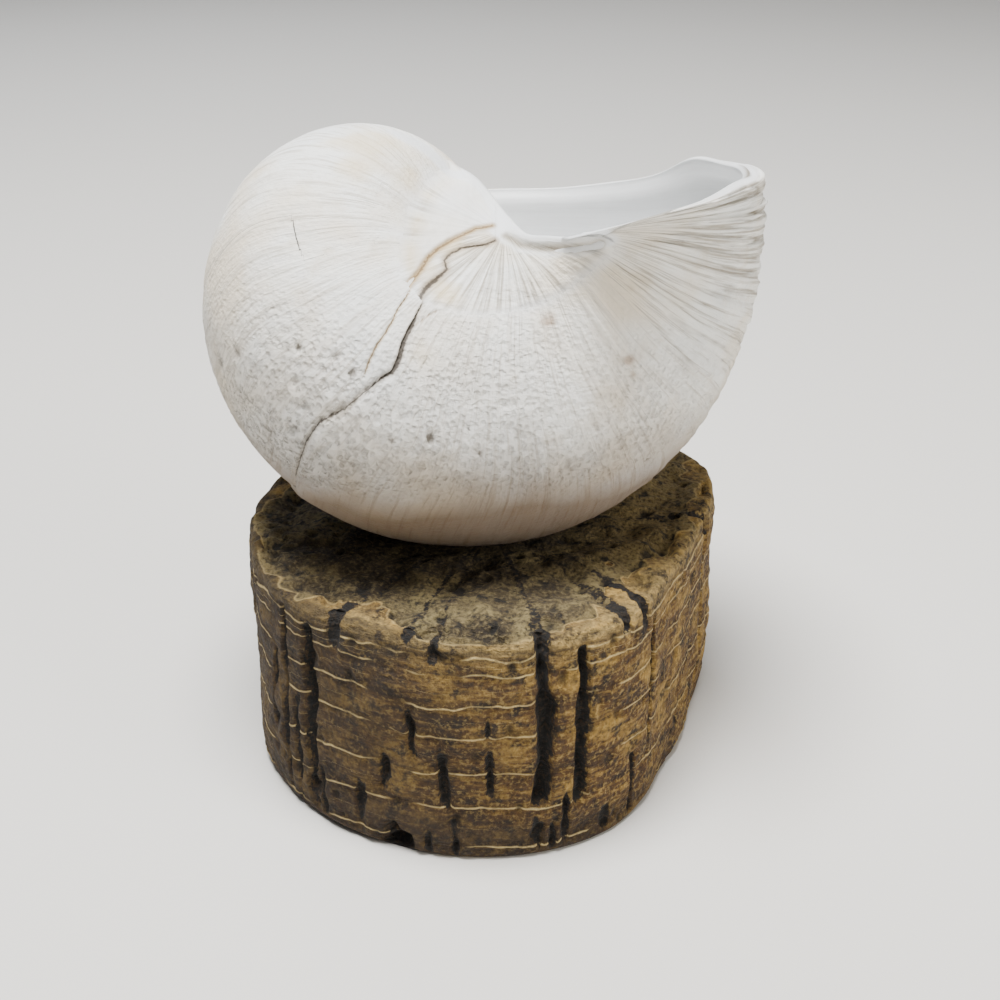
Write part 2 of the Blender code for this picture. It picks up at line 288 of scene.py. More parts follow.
SECTION_RHO = 0.500
SECTION_ZETA = -0.874
SECTION_HALF_WIDTH = 0.522
SECTION_HALF_HEIGHT = 0.665
SECTION_TILT = -0.565
SECTION_SQUARENESS = 2.28
SECTION_EGG = -0.329
AXIS_CLEARANCE = 0.03
AXIS_SOFTNESS = 0.02
LIP_FADE = 0.8
LIP_NARROWER = -0.201
LIP_TALLER = 0.128
LIP_TILT = 0.352
LIP_RISE = 0.048

LIP_SWEEP = (-0.248, 0.247, 0.064, -0.157, 0.016, 0.043)
OLD_SWEEP = (0.04, 0.20, 0.02, 0.09, -0.03, -0.09)
OLD_SWEEP_ENDS = -6.2
OLD_SWEEP_FULL = -4.0

LIP_EDGE_WALL = 0.7 * MM
BEVEL_WIDTH = 0.055
BEVEL_DEPTH = 1.5 * MM
BEVEL_CENTRE = 5.5
# Growth angle over which the ridges beside the lip fade, and the finer ones that reach further back.
RIDGE_REACH = 0.5
FINE_RIDGE_REACH = 2.5
FINE_RIDGE_HEIGHT = 0.35 * MM
# Layers of growth ridges: width in growth angle, length round the whorl, and share of the height.
RIDGE_LAYERS = ((0.050, 1.4, 1.0), (0.021, 1.0, 0.55), (0.0095, 0.8, 0.22))
RIDGE_SHARPNESS = 0.75
SCAR_STEP = 0.9 * MM
SCAR_FADE = 13 * MM
SCAR_GROOVE = 0.6 * MM
SCAR_GROOVE_WIDTH = 0.9 * MM
RELIEF_FADE = (0.06, 0.22)
# Masks with the distance in mm to each crack, and the value that stands for no crack or line nearby.
CRACK_GAPS = ("scar_gap", "edge_gap", "pin_gap")
FAR_OFF = 9.0
COIL_START = -15.4
HOLLOW_START = -5.4

# The points of each ring are closest together at this place, where the base side faces up and out.
FINE_AROUND = 5.4
CROWDING = 0.42
# Direction in which someone looks who faces the base side.
BASE_VIEW = np.array((0.0, 0.891, -0.454))

# Where the healed scar runs: place round the section, and growth angle there.
SCAR_LINE = (
    (4.3, -3.9), (4.75, -3.25), (4.9, -3.15), (5.16, -3.04), (5.38, -2.96), (5.52, -2.92),
    (5.6, -2.91), (5.68, -2.95), (5.86, -2.98), (6.28, -3.02), (7.0, -3.01), (8.5, -3.0),
)
# The older edge that runs beside it, from the umbilicus to where the two meet.
EDGE_LINE = (
    (4.3, -4.6), (4.75, -3.9), (4.94, -3.5), (5.11, -3.26), (5.25, -3.17), (5.41, -3.1), (5.6, -3.07),
    (5.8, -3.03),
)
EDGE_GROOVE = 0.5 * MM
EDGE_GROOVE_WIDTH = 0.6 * MM
BETWEEN_RISE = 0.45 * MM
CRACK_DEPTH = 0.35 * MM
BRANCH_WIDTH = 0.45 * MM
PIN_WIDTH = 0.35 * MM
# Worn pits: size of the cells that may each hold one, and the share of cells that do.
SMALL_PITS = (2.1 * MM, 0.6)
LARGE_PITS = (3.0 * MM, 0.08)
# Pits and grain come out a third longer along X and a fifth shorter along Z.
PIT_STRETCH = (0.75, 1, 1.25)
# Size and height of the worn grain and of the gentle swells.
GRAIN_SIZE = 1.7 * MM
GRAIN_HEIGHT = 0.16 * MM
SEAL_GRAIN_HEIGHT = 0.12 * MM
SWELL_SIZE = 26 * MM
SWELL_HEIGHT = 0.4 * MM
# Single larger pits and two stains: growth angle, place round the section, and radius in mm.
LONE_PITS = (
    (-3.08, 5.83, 0.8), (-2.39, 5.59, 0.7), (-2.32, 5.71, 0.9), (-1.92, 5.73, 0.8), (-2.58, 5.77, 0.7),
    (-2.75, 5.95, 0.7), (-3.34, 6.14, 0.7), (-3.1, 6.06, 0.7), (-1.5, 5.9, 0.6), (-2.1, 6.1, 0.7),
)
STAINS = ((-1.30, 5.18, 1.2), (-1.33, 5.26, 1.0), (-1.76, 4.87, 1.6))
BRANCH_LINE = ((5.05, -2.88), (5.12, -2.90), (5.2, -2.94), (5.38, -2.99))
PIN_LINE = ((5.92, -3.76), (5.98, -3.83), (6.05, -3.95), (6.12, -4.02))
# The same two lines where they cross the umbilicus seal, in mm to the right and up.
FOLD_A = (
    (2.0, 98.4), (-1.0, 97.7), (-2.9, 96.5), (-5.9, 94.8), (-8.2, 92.8), (-9.8, 90.9), (-11.0, 88.3),
    (-12.5, 86.0), (-14.2, 83.4), (-15.3, 81.7), (-16.2, 80.4),
)
FOLD_B = (
    (2.6, 94.9), (0.9, 93.9), (-1.5, 93.7), (-3.8, 93.2), (-5.8, 91.9), (-6.8, 90.6), (-6.4, 88.5),
    (-8.1, 86.5), (-9.8, 84.8), (-11.0, 82.7), (-12.0, 80.3), (-12.5, 79.2),
)
FOLD_GROOVE = 0.5 * MM
FOLD_A_WIDTH = 0.5
FOLD_B_WIDTH = 0.6
STRIP_RISE = 0.35 * MM
FAN_MIDDLE = (4.4, 97.0)
FAN_RELIEF = 0.2 * MM

# Callus that runs from the older whorl down beside the umbilicus into the inner lip: middle and radius in mm.
INNER_LIP = (
    ((-18.7, 7.1, 121.1), 3.0),
    ((-14.3, 12.1, 117.7), 4.4),
    ((-9.5, 11.1, 113.5), 4.6),
    ((-5.0, 7.3, 110.4), 5.0),
    ((-0.9, 1.3, 109.8), 3.8),
    ((3.9, -6.2, 110.5), 2.2),
    ((8.4, -11.3, 111.5), 1.4),
    ((12.8, -18.7, 113.4), 1.2),
    ((16.7, -25.5, 115.6), 1.1),
    ((19.8, -29.2, 117.1), 0.9),
    ((21.9, -30.2, 117.3), 0.5),
)
SMOOTH_BAND = (
    (-16.4, 11.2, 127.0), (-10.5, 11.9, 123.9), (-6.1, 10.7, 121.5), (-2.5, 9.5, 119.2), (1.7, 6.0, 116.7),
    (3.7, -0.6, 114.8), (4.1, -8.9, 113.9), (9.1, -17.6, 114.4), (16.8, -29.3, 117.9), (21.7, -34.2, 120.5),
)
CALLUS_BLEND = 1.6 * MM
# Callus that seals the umbilicus, a smooth skin.
# Its border is in mm to the right and up, seen from the base side.
SEAL_BORDER = (
    (-2.9, 110.9), (-6.5, 113.1), (-11.1, 107.4), (-13.9, 99.9), (-14.9, 92.6), (-14.0, 85.8), (-9.6, 81.7),
    (-3.4, 79.9), (3.5, 79.9), (10.4, 81.3), (15.7, 83.9), (19.6, 86.8), (22.6, 88.7), (23.2, 90.5),
    (20.8, 91.9), (18.5, 92.3), (15.6, 92.3), (11.9, 93.6), (7.6, 95.6), (4.1, 101.2), (0.7, 106.9),
)
SEAL_MIDDLE = (2.0, 91.5)
# From the first to the last of these places round its border, the skin runs on into the whorls.
SEAL_JOINED = (1.0, 13.0)
# What the skin runs through elsewhere: right, up and towards the viewer, in mm.
SEAL_PLACES = (
    (-5.9, 94.0, 63.2), (-0.3, 95.2, 62.4), (-3.2, 99.4, 58.2), (-6.2, 103.3, 55.2), (-2.5, 110.8, 46.2),
    (1.3, 107.1, 47.7), (4.9, 101.7, 54.2), (8.4, 96.2, 64.7), (-0.2, 90.5, 66.1), (4.4, 95.2, 62.7),
    (5.7, 92.1, 65.4), (9.1, 92.2, 67.3), (12.3, 94.0, 71.7), (13.0, 91.0, 73.1), (16.0, 92.9, 77.9),
    (16.9, 90.2, 78.2), (19.3, 92.4, 82.7), (20.4, 90.1, 82.1), (7.2, 89.3, 69.3), (11.7, 88.3, 72.9),
    (16.9, 87.7, 77.3),
)
SEAL_DEEPEST = 42.0
# Height in mm over the base view from which the whorls are looked for.
RAY_START = 300.0
SEAL_OVERLAP = 0.5 * MM
SEAL_STEPS = 18
SEAL_EDGE_ROWS = 14
# How far its free edge rolls outwards and back, in mm.
EDGE_OUT = 0.9
EDGE_BACK = (1.6, 3.5)
SEAL_ROWS = 100
SEAL_BORDER_ROWS = 10
# Its back side: how thick it is in mm, and how far out each row is.
SEAL_THICKNESS = 5.6
SEAL_BACK_SHARES = np.array((0.99, 0.9, 0.75, 0.6, 0.4, 0.2, 0.05))
# The shaded hollow under the rim, beside the umbilicus.
RECESS_LINE = ((4.6, 95.9), (7.2, 93.7), (10.8, 92.2), (15.2, 91.0), (19.0, 90.5), (21.0, 90.7))
# The thin rim above it.
RIM_LINE = (
    (-0.5, 109.1), (3.1, 104.5), (6.4, 99.0), (8.4, 96.1), (12.2, 93.8), (16.0, 92.6), (19.2, 92.3),
    (22.1, 92.3),
)
RIM_RISE = 0.7 * MM
RECESS_WIDTH = 0.9
RECESS_DEPTH = 0.8 * MM
RIM_WIDTH = 0.6
SEAL_TUCK = 0.08
# Warm stains: middle and reach in mm.
WARM_PLACES = (
    ((-21, 1, 127), 7), ((-24, -7, 125), 4), ((-13, -3, 121), 5), ((-9, -11, 114), 6), ((-13, -19, 111), 4),
    ((-7, -27, 107), 3), ((-11, -34, 97), 4),
)


def sweep(harmonics, around):
    """Growth angle by which a growth line leads or lags at this place round the section."""
    total = 0.0
    for i, (cos_part, sin_part) in enumerate(zip(harmonics[::2], harmonics[1::2]), start=1):
        total = total + cos_part * np.cos(i * around) + sin_part * np.sin(i * around)
    return total


def growth_line(start, around):
    """Growth angles along the growth lines whose mean growth angle is start."""
    at_lip = np.exp(start / LIP_FADE)
    older = (1 - at_lip) * smoothstep(OLD_SWEEP_ENDS, OLD_SWEEP_FULL, start)
    return start + at_lip * sweep(LIP_SWEEP, around) + older * sweep(OLD_SWEEP, around)


def whorl_scale(angle, settings):
    slowing = 1 - LIP_SLOWING * np.exp(np.minimum(angle, 1.0) / LIP_SLOWING_REACH)
    fullness = 1 + OLDER_FULLNESS * smoothstep(-OLDER_FROM, -OLDER_FULL, -angle)
    return settings.radius * settings.growth_per_turn ** (angle / TURN) * slowing * fullness


def section(around, angle):
    """Distance from the axis and along it of the whorl's outside, in shares of its scale."""
    near_lip = np.exp(np.minimum(angle, 1.0) / LIP_FADE)
    cos, sin = np.cos(around), np.sin(around)
    power = SECTION_SQUARENESS
    reach = (np.abs(cos) ** power + np.abs(sin) ** power) ** (-1 / power)
    wide = SECTION_HALF_WIDTH * (1 + LIP_NARROWER * near_lip) * reach * cos
    tall = SECTION_HALF_HEIGHT * (1 + LIP_TALLER * near_lip) * reach * sin * (1 + SECTION_EGG * cos)
    tilt = SECTION_TILT + LIP_TILT * near_lip
    rho = SECTION_RHO + wide * np.cos(tilt) - tall * np.sin(tilt)
    zeta = SECTION_ZETA + LIP_RISE * near_lip + wide * np.sin(tilt) + tall * np.cos(tilt)
    past = rho - AXIS_CLEARANCE
    return AXIS_CLEARANCE + (past + np.sqrt(past**2 + AXIS_SOFTNESS**2)) / 2, zeta


def shell_axes():
    """Unit vectors away from the axis at the mouth, along the growth, and along the axis to the apex."""
    axis = unit(AXIS_TO_APEX)
    outward = unit(MOUTH_DIRECTION - (MOUTH_DIRECTION @ axis) * axis)
    return np.array([outward, np.cross(axis, outward), axis])


def coil_points(rho, zeta, angle):
    """World points from distances to the coiling axis and along it, at these growth angles."""
    local = np.stack([rho * np.cos(angle), -rho * np.sin(angle), zeta], axis=-1)
    return local @ shell_axes() * (SHELL_SPREAD, 1, 1) + APEX_AT


def inset_outline(rho, zeta, distance):
    """Closed outlines moved inwards, square to themselves, by a distance for each point."""
    along_rho = np.roll(rho, -1, axis=1) - np.roll(rho, 1, axis=1)
    along_zeta = np.roll(zeta, -1, axis=1) - np.roll(zeta, 1, axis=1)
    length = np.hypot(along_rho, along_zeta) + 1e-12
    return rho - along_zeta / length * distance, zeta + along_rho / length * distance


def buried(rho, zeta, angle, settings):
    """True where a point lies inside the whorl one turn older."""
    older = angle - TURN
    scale = whorl_scale(older, settings)
    wide, tall = rho / scale - SECTION_RHO, zeta / scale - SECTION_ZETA
    cos, sin = math.cos(SECTION_TILT), math.sin(SECTION_TILT)
    across = (wide * cos + tall * sin) / SECTION_HALF_WIDTH
    upwards = (tall * cos - wide * sin) / SECTION_HALF_HEIGHT
    turned = np.cos(np.arctan2(upwards, across))
    upwards = upwards / (1 + SECTION_EGG * turned)
    return np.abs(across) ** SECTION_SQUARENESS + np.abs(upwards) ** SECTION_SQUARENESS < 0.93


def line_growth(corners, around):
    """Growth angle of a drawn line at each place round the section, and 1 where the line exists."""
    places = np.array([place for place, _ in corners])
    angles = np.array([angle for _, angle in corners])
    wrapped = np.where(around < places[0] - 0.5, around + TURN, around)
    wrapped = np.where(wrapped > places[-1] + 1.5, wrapped - TURN, wrapped)
    exists = smoothstep(places[0] - 0.02, places[0] + 0.06, wrapped)
    exists = exists * smoothstep(places[-1] + 0.02, places[-1] - 0.06, wrapped)
    return np.interp(wrapped, places, angles), exists


def lip_bevel(around):
    """1 where the lip is thickest, falling to 0 on its thin far side."""
    return (0.5 + 0.5 * np.cos(around - BEVEL_CENTRE)) ** 2


def ridge_profile(growth, around, place):
    """Uneven growth ridges with narrow grooves between them, from 0 to about 1."""
    drift = 0.05 * noise(place, 38 * MM, 11) + 0.012 * noise(place, 11 * MM, 12)
    total = 0.0
    for seed, (width, length, share) in enumerate(RIDGE_LAYERS, start=21):
        stretched = [(growth + drift) / width, np.cos(around) / length, np.sin(around) / length]
        folded = np.stack(stretched, axis=-1)
        total = total + share * np.abs(noise(folded, 1.0, seed)) ** RIDGE_SHARPNESS
    return total


def creases(growth, around, place):
    """Distance in metres to the healed scar, the older edge beside it, its branch and the pin crack."""
    wander = 0.30 * MM * noise(place, 1.9 * MM, 31) + 0.7 * MM * noise(place, 6 * MM, 32)
    reach = 0.9 * np.linalg.norm(place - APEX_AT, axis=-1)
    lines = {"scar": SCAR_LINE, "edge": EDGE_LINE, "branch": BRANCH_LINE, "pin": PIN_LINE}
    gaps = {}
    for name, corners in lines.items():
        at, there = line_growth(corners, around)
        gaps[name] = (growth - at) * reach + wander, there
    return gaps


def near_marks(marks, place, settings):
    """1 at the middle of these marks on the whorl, falling to 0 outside them."""
    share = np.zeros(place.shape[:-1])
    for growth, around, radius in marks:
        middle = coil_points(*whorl_outline(np.array([growth]), np.array([around]), settings))[0]
        gap = np.linalg.norm(place - middle, axis=-1) + 0.5 * MM * noise(place, 1.5 * MM, 58)
        share = np.maximum(share, smoothstep(1.3 * radius * MM, 0.3 * radius * MM, gap))
    return share


def outside_relief(growth, around, place, settings):
    """Height over the smooth whorl, and the masks that the finish reads."""
    basal = 0.3 + 0.7 * np.sqrt(lip_bevel(around))
    strength = settings.ridge_height * np.exp(growth / RIDGE_REACH)
    strength = strength + FINE_RIDGE_HEIGHT * np.exp(growth / FINE_RIDGE_REACH)
    profile = ridge_profile(growth, around, place)
    ridges = strength * basal * profile * smoothstep(0.0, -0.05, growth)
    bevel = BEVEL_DEPTH * lip_bevel(around) * smoothstep(-BEVEL_WIDTH, 0.0, growth) ** 2

    gaps = creases(growth, around, place)
    past, scar_there = gaps["scar"]
    scar = SCAR_STEP * np.exp(-np.abs(past) / SCAR_FADE) * smoothstep(-0.3 * MM, 0.8 * MM, past)
    groove = SCAR_GROOVE * bell(past, SCAR_GROOVE_WIDTH) * scar_there
    edge_past, edge_there = gaps["edge"]
    edge = bell(edge_past, EDGE_GROOVE_WIDTH) * edge_there
    strip = BETWEEN_RISE * smoothstep(0.0, 1.6 * MM, edge_past) * smoothstep(0.0, -1.4 * MM, past)
    strip = strip * edge_there
    branch = bell(gaps["branch"][0], BRANCH_WIDTH) * gaps["branch"][1]
    pin = bell(gaps["pin"][0], PIN_WIDTH) * gaps["pin"][1]

    worn = worn_share(growth, place)
    stretched = place * PIT_STRETCH
    small = pits(stretched, *SMALL_PITS, 41) * smoothstep(0.15, 0.7, worn)
    large = pits(stretched, *LARGE_PITS, 46) * smoothstep(0.3, 0.7, worn)
    grain = rough_noise(stretched, GRAIN_SIZE, 2, 43) * (0.2 + 0.8 * worn)
    swell = SWELL_HEIGHT * noise(place, SWELL_SIZE, 44)
    height = ridges + scar + strip + swell + GRAIN_HEIGHT * grain
    height = height - bevel - groove - EDGE_GROOVE * edge - CRACK_DEPTH * (branch + pin)
    lone = near_marks(LONE_PITS, place, settings)
    height = height - settings.pit_depth * (0.4 * small + large + 0.9 * lone)
    dark = np.clip(0.3 * edge + 0.7 * branch, 0, 1)
    masks = {"crease": dark, "worn": worn, "pit": np.maximum(0.8 * large, lone)}
    masks["stained"] = near_marks(STAINS, place, settings)
    for name in ("scar", "edge", "pin"):
        masks[name + "_gap"] = gaps[name][0] / MM + np.copysign(FAR_OFF * (1 - gaps[name][1]), gaps[name][0])
    masks["scar_wide"] = -0.18 + 0.75 * smoothstep(5.2, 5.34, around) * smoothstep(5.72, 5.5, around)
    # painted shade, partly also dirt, in the grooves between the ridges beside the lip
    near_lip = np.clip(0.2 + 1.3 * np.exp(growth / LIP_FADE), 0, 1)
    masks["groove"] = np.clip(1.25 - 2.6 * profile, 0, 1) * near_lip * basal
    return height, masks


def worn_share(growth, place):
    """How worn and pitted the surface is: most in a band across the lower half."""
    height = place[..., 2] / MM
    band = smoothstep(69, 78, height) * smoothstep(112, 90, height)
    patchy = 0.5 + 0.5 * rough_noise(place, 17 * MM, 3, 51)
    older = 0.15 + 0.85 * smoothstep(-0.7, -2.1, growth)
    return np.clip((0.10 + band) * (0.45 + 0.9 * patchy) * older, 0, 1)


def outside_growths():
    older = np.arange(COIL_START, -6.6, 0.17)
    dome = np.arange(-6.6, -3.7, 0.036)
    body = np.arange(-3.7, -0.5, 0.0145)
    near_lip = np.arange(-0.5, -0.06, 0.0068)
    last = np.array([-0.06, -0.05, -0.04, -0.031, -0.023, -0.016, -0.010, -0.005, 0.0])
    return np.unique(np.round(np.concatenate([older, dome, body, near_lip, last]), 4))


def inside_growths():
    first = np.array([-0.002, -0.008, -0.018, -0.035, -0.06, -0.09, -0.13, -0.18, -0.24])
    return np.concatenate([first, np.arange(-0.34, HOLLOW_START, -0.12)])


def ring_grid(growths, settings):
    """Growth and place round the section for every point, with the rings' points closest at FINE_AROUND."""
    turns = np.linspace(0, TURN, settings.sides, endpoint=False)[None, :]
    around = turns - CROWDING * np.sin(turns - FINE_AROUND)
    growth = growths[:, None] + 0 * around
    return growth, around + 0 * growth


def whorl_outline(growth, around, settings):
    """Rho, zeta and growth angle of the smooth whorl."""
    wavy = 0.008 * np.sin(5 * around + 1.0) + 0.006 * np.sin(9 * around)
    angle = growth_line(growth, around) + wavy * np.exp(growth / 0.08)
    rho, zeta = section(around, angle)
    scale = whorl_scale(angle, settings)
    return rho * scale, zeta * scale, angle


def painted_underside_shade_share(place):
    """Painted shade: 1 on the side that rests on the cork, more so towards the bottom, where the colour is
    painted darker and warmer.
    """
    height = place[..., 2] / MM + 2.0 * rough_noise(place, 9 * MM, 2, 52)
    return smoothstep(91, 60, height)


def band_share(place):
    """1 on the smooth white band of callus that runs on as the near lip."""
    gap = distance_to_line(place, np.array(SMOOTH_BAND) * MM)
    return smoothstep(3.6 * MM, 1.6 * MM, gap + 0.6 * MM * noise(place, 4 * MM, 53))


def warm_share(place):
    """How stained the chalk is, near the warm places."""
    share = np.zeros(place.shape[:-1])
    for middle, reach in WARM_PLACES:
        gap = np.linalg.norm(place - np.array(middle) * MM, axis=-1) / (reach * MM)
        share = np.maximum(share, smoothstep(1.5, 0.2, gap + 0.5 * rough_noise(place, 6 * MM, 3, 54)))
    return share


def build_shell(settings):
    growth, around = ring_grid(outside_growths(), settings)
    rho, zeta, angle = whorl_outline(growth, around, settings)
    place = coil_points(rho, zeta, angle)
    height, masks = outside_relief(growth, around, place, settings)
    fade = smoothstep(*RELIEF_FADE, rho / settings.radius)
    hidden = buried(rho, zeta, angle, settings) & (growth > COIL_START + TURN)
    outer_rho, outer_zeta = inset_outline(rho, zeta, -height * fade)
    outside = coil_points(outer_rho, outer_zeta, angle)

    growth_in, around_in = ring_grid(inside_growths(), settings)
    rho_in, zeta_in, angle_in = whorl_outline(growth_in, around_in, settings)
    wall = LIP_EDGE_WALL + (settings.wall - LIP_EDGE_WALL) * smoothstep(0.0, -0.12, growth_in)
    wall = wall + BEVEL_DEPTH * lip_bevel(around_in) * 1.4 * smoothstep(-0.2, 0.0, growth_in)
    hidden_in = buried(rho_in, zeta_in, angle_in, settings)
    inner_rho, inner_zeta = inset_outline(rho_in, zeta_in, wall)
    inside = coil_points(inner_rho, inner_zeta, angle_in)

    points = np.concatenate([outside, inside])
    keep = ~np.concatenate([hidden, hidden_in])
    # painted shade on the side that rests on the cork
    masks["underside_painted_shade"] = painted_underside_shade_share(place)
    masks["warm"] = warm_share(place)
    masks = {name: np.concatenate([mask, 0 * growth_in]) for name, mask in masks.items()}
    lip = smoothstep(-0.040, -0.014, growth) * lip_bevel(around)
    lip = np.maximum(lip, np.maximum(band_share(place), seal_seam(outside)))
    masks["smooth"] = np.concatenate([lip, np.ones_like(growth_in)])
    for name in CRACK_GAPS:
        masks[name][len(growth):] = FAR_OFF
    both_growths, both_places = np.concatenate([growth, growth_in]), np.concatenate([around, around_in])
    masks["growth_place"] = growth_places(both_growths, both_places)
    return grid_mesh("shell", points, keep, masks, cap_start=True, cap_end=True)


def growth_places(growth, around):
    """Positions that follow the growth, for patterns that run along the growth lines."""
    return np.stack([growth * 60 * MM, np.cos(around) * 40 * MM, np.sin(around) * 40 * MM], axis=-1)


def build_inner_lip():
    """The tapering roll of callus with round sections."""
    middles = [np.array(middle) * MM for middle, _ in INNER_LIP]
    radii = [radius * MM for _, radius in INNER_LIP]
    turns = np.linspace(0, TURN, 72, endpoint=False)[:, None]
    rings = []
    for place in np.linspace(0, len(INNER_LIP) - 1, 26 * (len(INNER_LIP) - 1)):
        along = curve_point(middles, place + 0.05) - curve_point(middles, place - 0.05)
        side = unit(np.cross(along, (0, 0, 1.0)))
        up = unit(np.cross(side, along))
        radius = curve_point(radii, place)
        rings.append(curve_point(middles, place) + radius * (np.cos(turns) * side + np.sin(turns) * up))
    points = np.array(rings)
    masks = callus_masks(points)
    along = np.linspace(0, 60 * MM, len(points))[:, None] + 0 * turns[:, 0]
    masks["growth_place"] = np.stack([4 * MM * np.sin(turns[:, 0]) + 0 * along, along, 0 * along], axis=-1)
    return grid_mesh("shell_inner_lip", points, None, masks, cap_start=True, cap_end=True)


def base_axes():
    """Unit vectors to the right, up and towards someone who faces the base side."""
    right = np.array((1.0, 0.0, 0.0))
    return np.array([right, np.cross(right, BASE_VIEW), -BASE_VIEW])


def seal_border():
    """The border of the seal, a closed run of flat points in mm, and 1 where it joins the whorls."""
    count = len(SEAL_BORDER)
    looped = [np.array(SEAL_BORDER[i % count]) for i in range(-1, count + 2)]
    places = np.arange(0, count, 1 / SEAL_STEPS)
    start, end = SEAL_JOINED
    joined = smoothstep(start - 1, start, places) * smoothstep(end + 1, end, places)
    return np.array([curve_point(looped, place + 1) for place in places]), joined


def seal_share(flat):
    """Share of the way from the seal's middle to its border, and 1 where that border joins the whorls."""
    border, joined = seal_border()
    turned = np.arctan2(border[:, 1] - SEAL_MIDDLE[1], border[:, 0] - SEAL_MIDDLE[0])
    reach = np.hypot(border[:, 0] - SEAL_MIDDLE[0], border[:, 1] - SEAL_MIDDLE[1])
    own = np.arctan2(flat[..., 1] - SEAL_MIDDLE[1], flat[..., 0] - SEAL_MIDDLE[0])
    own_reach = np.hypot(flat[..., 0] - SEAL_MIDDLE[0], flat[..., 1] - SEAL_MIDDLE[1])
    return own_reach / np.interp(own, turned, reach, period=TURN), np.interp(own, turned, joined, period=TURN)


def thin_plate(spots, heights):
    """The smoothest height function that runs through these heights at these flat spots."""

    def pull(where):
        gap = np.linalg.norm(where[..., None, :] - spots, axis=-1) + 1e-9
        return gap**2 * np.log(gap)

    flat = np.column_stack([np.ones(len(spots)), spots])
    system = np.block([[pull(spots), flat], [flat.T, np.zeros((3, 3))]])
    weights = np.linalg.solve(system, np.concatenate([heights, np.zeros(3)]))
    return lambda where: pull(where) @ weights[:-3] + weights[-3] + where @ weights[-2:]


def seal_surface(things):
    """Height of the seal over the flat points of the base view, in mm. It leaves the whorls smoothly."""
    trees = [surface_tree(thing) for thing in things]
    border, joined = seal_border()
    along = border[joined == 1][:: SEAL_STEPS // 3]
    spots, heights = [place[:2] for place in SEAL_PLACES], [place[2] for place in SEAL_PLACES]
    for share in (1.0, 1.12):
        for spot in SEAL_MIDDLE + (along - SEAL_MIDDLE) * share:
            start = Vector((spot[0], spot[1], RAY_START) @ base_axes() * MM)
            hits = [tree.ray_cast(start, Vector(BASE_VIEW))[3] for tree in trees]
            height = RAY_START - min(hit for hit in hits + [1.0] if hit is not None) / MM
            if height > SEAL_DEEPEST:
                spots.append(spot)
                heights.append(height)
    return thin_plate(np.array(spots, float), np.array(heights, float))


def sink_below(thing, surface):
    """Pushes the points of a piece that would come through the seal back under it."""
    points = np.empty(len(thing.data.vertices) * 3)
    thing.data.vertices.foreach_get("co", points)
    seen = points.reshape(-1, 3) @ base_axes().T / MM
    share, joined = seal_share(seen[:, :2])
    near = np.flatnonzero(share < 1)
    blend = np.maximum(np.clip((1 - share[near]) / 0.12, 0, 1) ** 2, 1 - joined[near])
    depth = SEAL_OVERLAP / MM * blend + RECESS_DEPTH / MM * (1 - joined[near])
    seen[near, 2] = np.minimum(seen[near, 2], surface(seen[near, :2]) - depth)
    thing.data.vertices.foreach_set("co", (seen @ base_axes() * MM).ravel())
    thing.data.update()


def past_line(flat, line):
    """How far flat points lie to the right of a line that is drawn from top to bottom, in mm."""
    across = np.array([corner[0] for corner in line[::-1]])
    upwards = np.array([corner[1] for corner in line[::-1]])
    return flat[..., 0] - np.interp(flat[..., 1], upwards, across)


def seal_grid(surface):
    """Flat points and heights of the seal in mm: rows from its middle outwards, then the rows of its edge."""
    border, joined = seal_border()
    outward = border - SEAL_MIDDLE
    run = np.roll(border, -1, axis=0) - np.roll(border, 1, axis=0)
    normal = np.column_stack([run[:, 1], -run[:, 0]]) / np.linalg.norm(run, axis=1)[:, None]
    normal = normal * np.sign((normal * outward).sum(axis=1))[:, None]
    shares = np.concatenate([np.linspace(0.01, 0.9, SEAL_ROWS), np.linspace(0.91, 1.0, SEAL_BORDER_ROWS)])
    shares = shares[:, None, None]
    flat = SEAL_MIDDLE + outward * shares
    height = surface(flat)
    rows_flat, rows_height = [flat], [height]
    for step in np.arange(1, SEAL_EDGE_ROWS + 1) / SEAL_EDGE_ROWS:
        turn = min(step * math.pi, math.pi / 2)
        under = border + outward * SEAL_TUCK * step
        free = border + normal * EDGE_OUT * math.sin(turn)
        back = EDGE_BACK[0] * (1 - math.cos(turn)) + EDGE_BACK[1] * max(2 * step - 1, 0)
        rows_flat.append((free + (under - free) * joined[:, None])[None])
        sunk = surface(under) - SEAL_OVERLAP / MM * step**2
        rolled = surface(free) - back
        rows_height.append((rolled + (sunk - rolled) * joined)[None])
    return np.concatenate(rows_flat), np.concatenate(rows_height)


def seal_seam(points):
    """How much the finish is calmed beside the border where the seal runs on into the whorls."""
    seen = points @ base_axes().T / MM
    share, joined = seal_share(seen[..., :2])
    return 0.5 * joined * bell(share - 1, 0.09) * smoothstep(38, SEAL_DEEPEST, seen[..., 2])


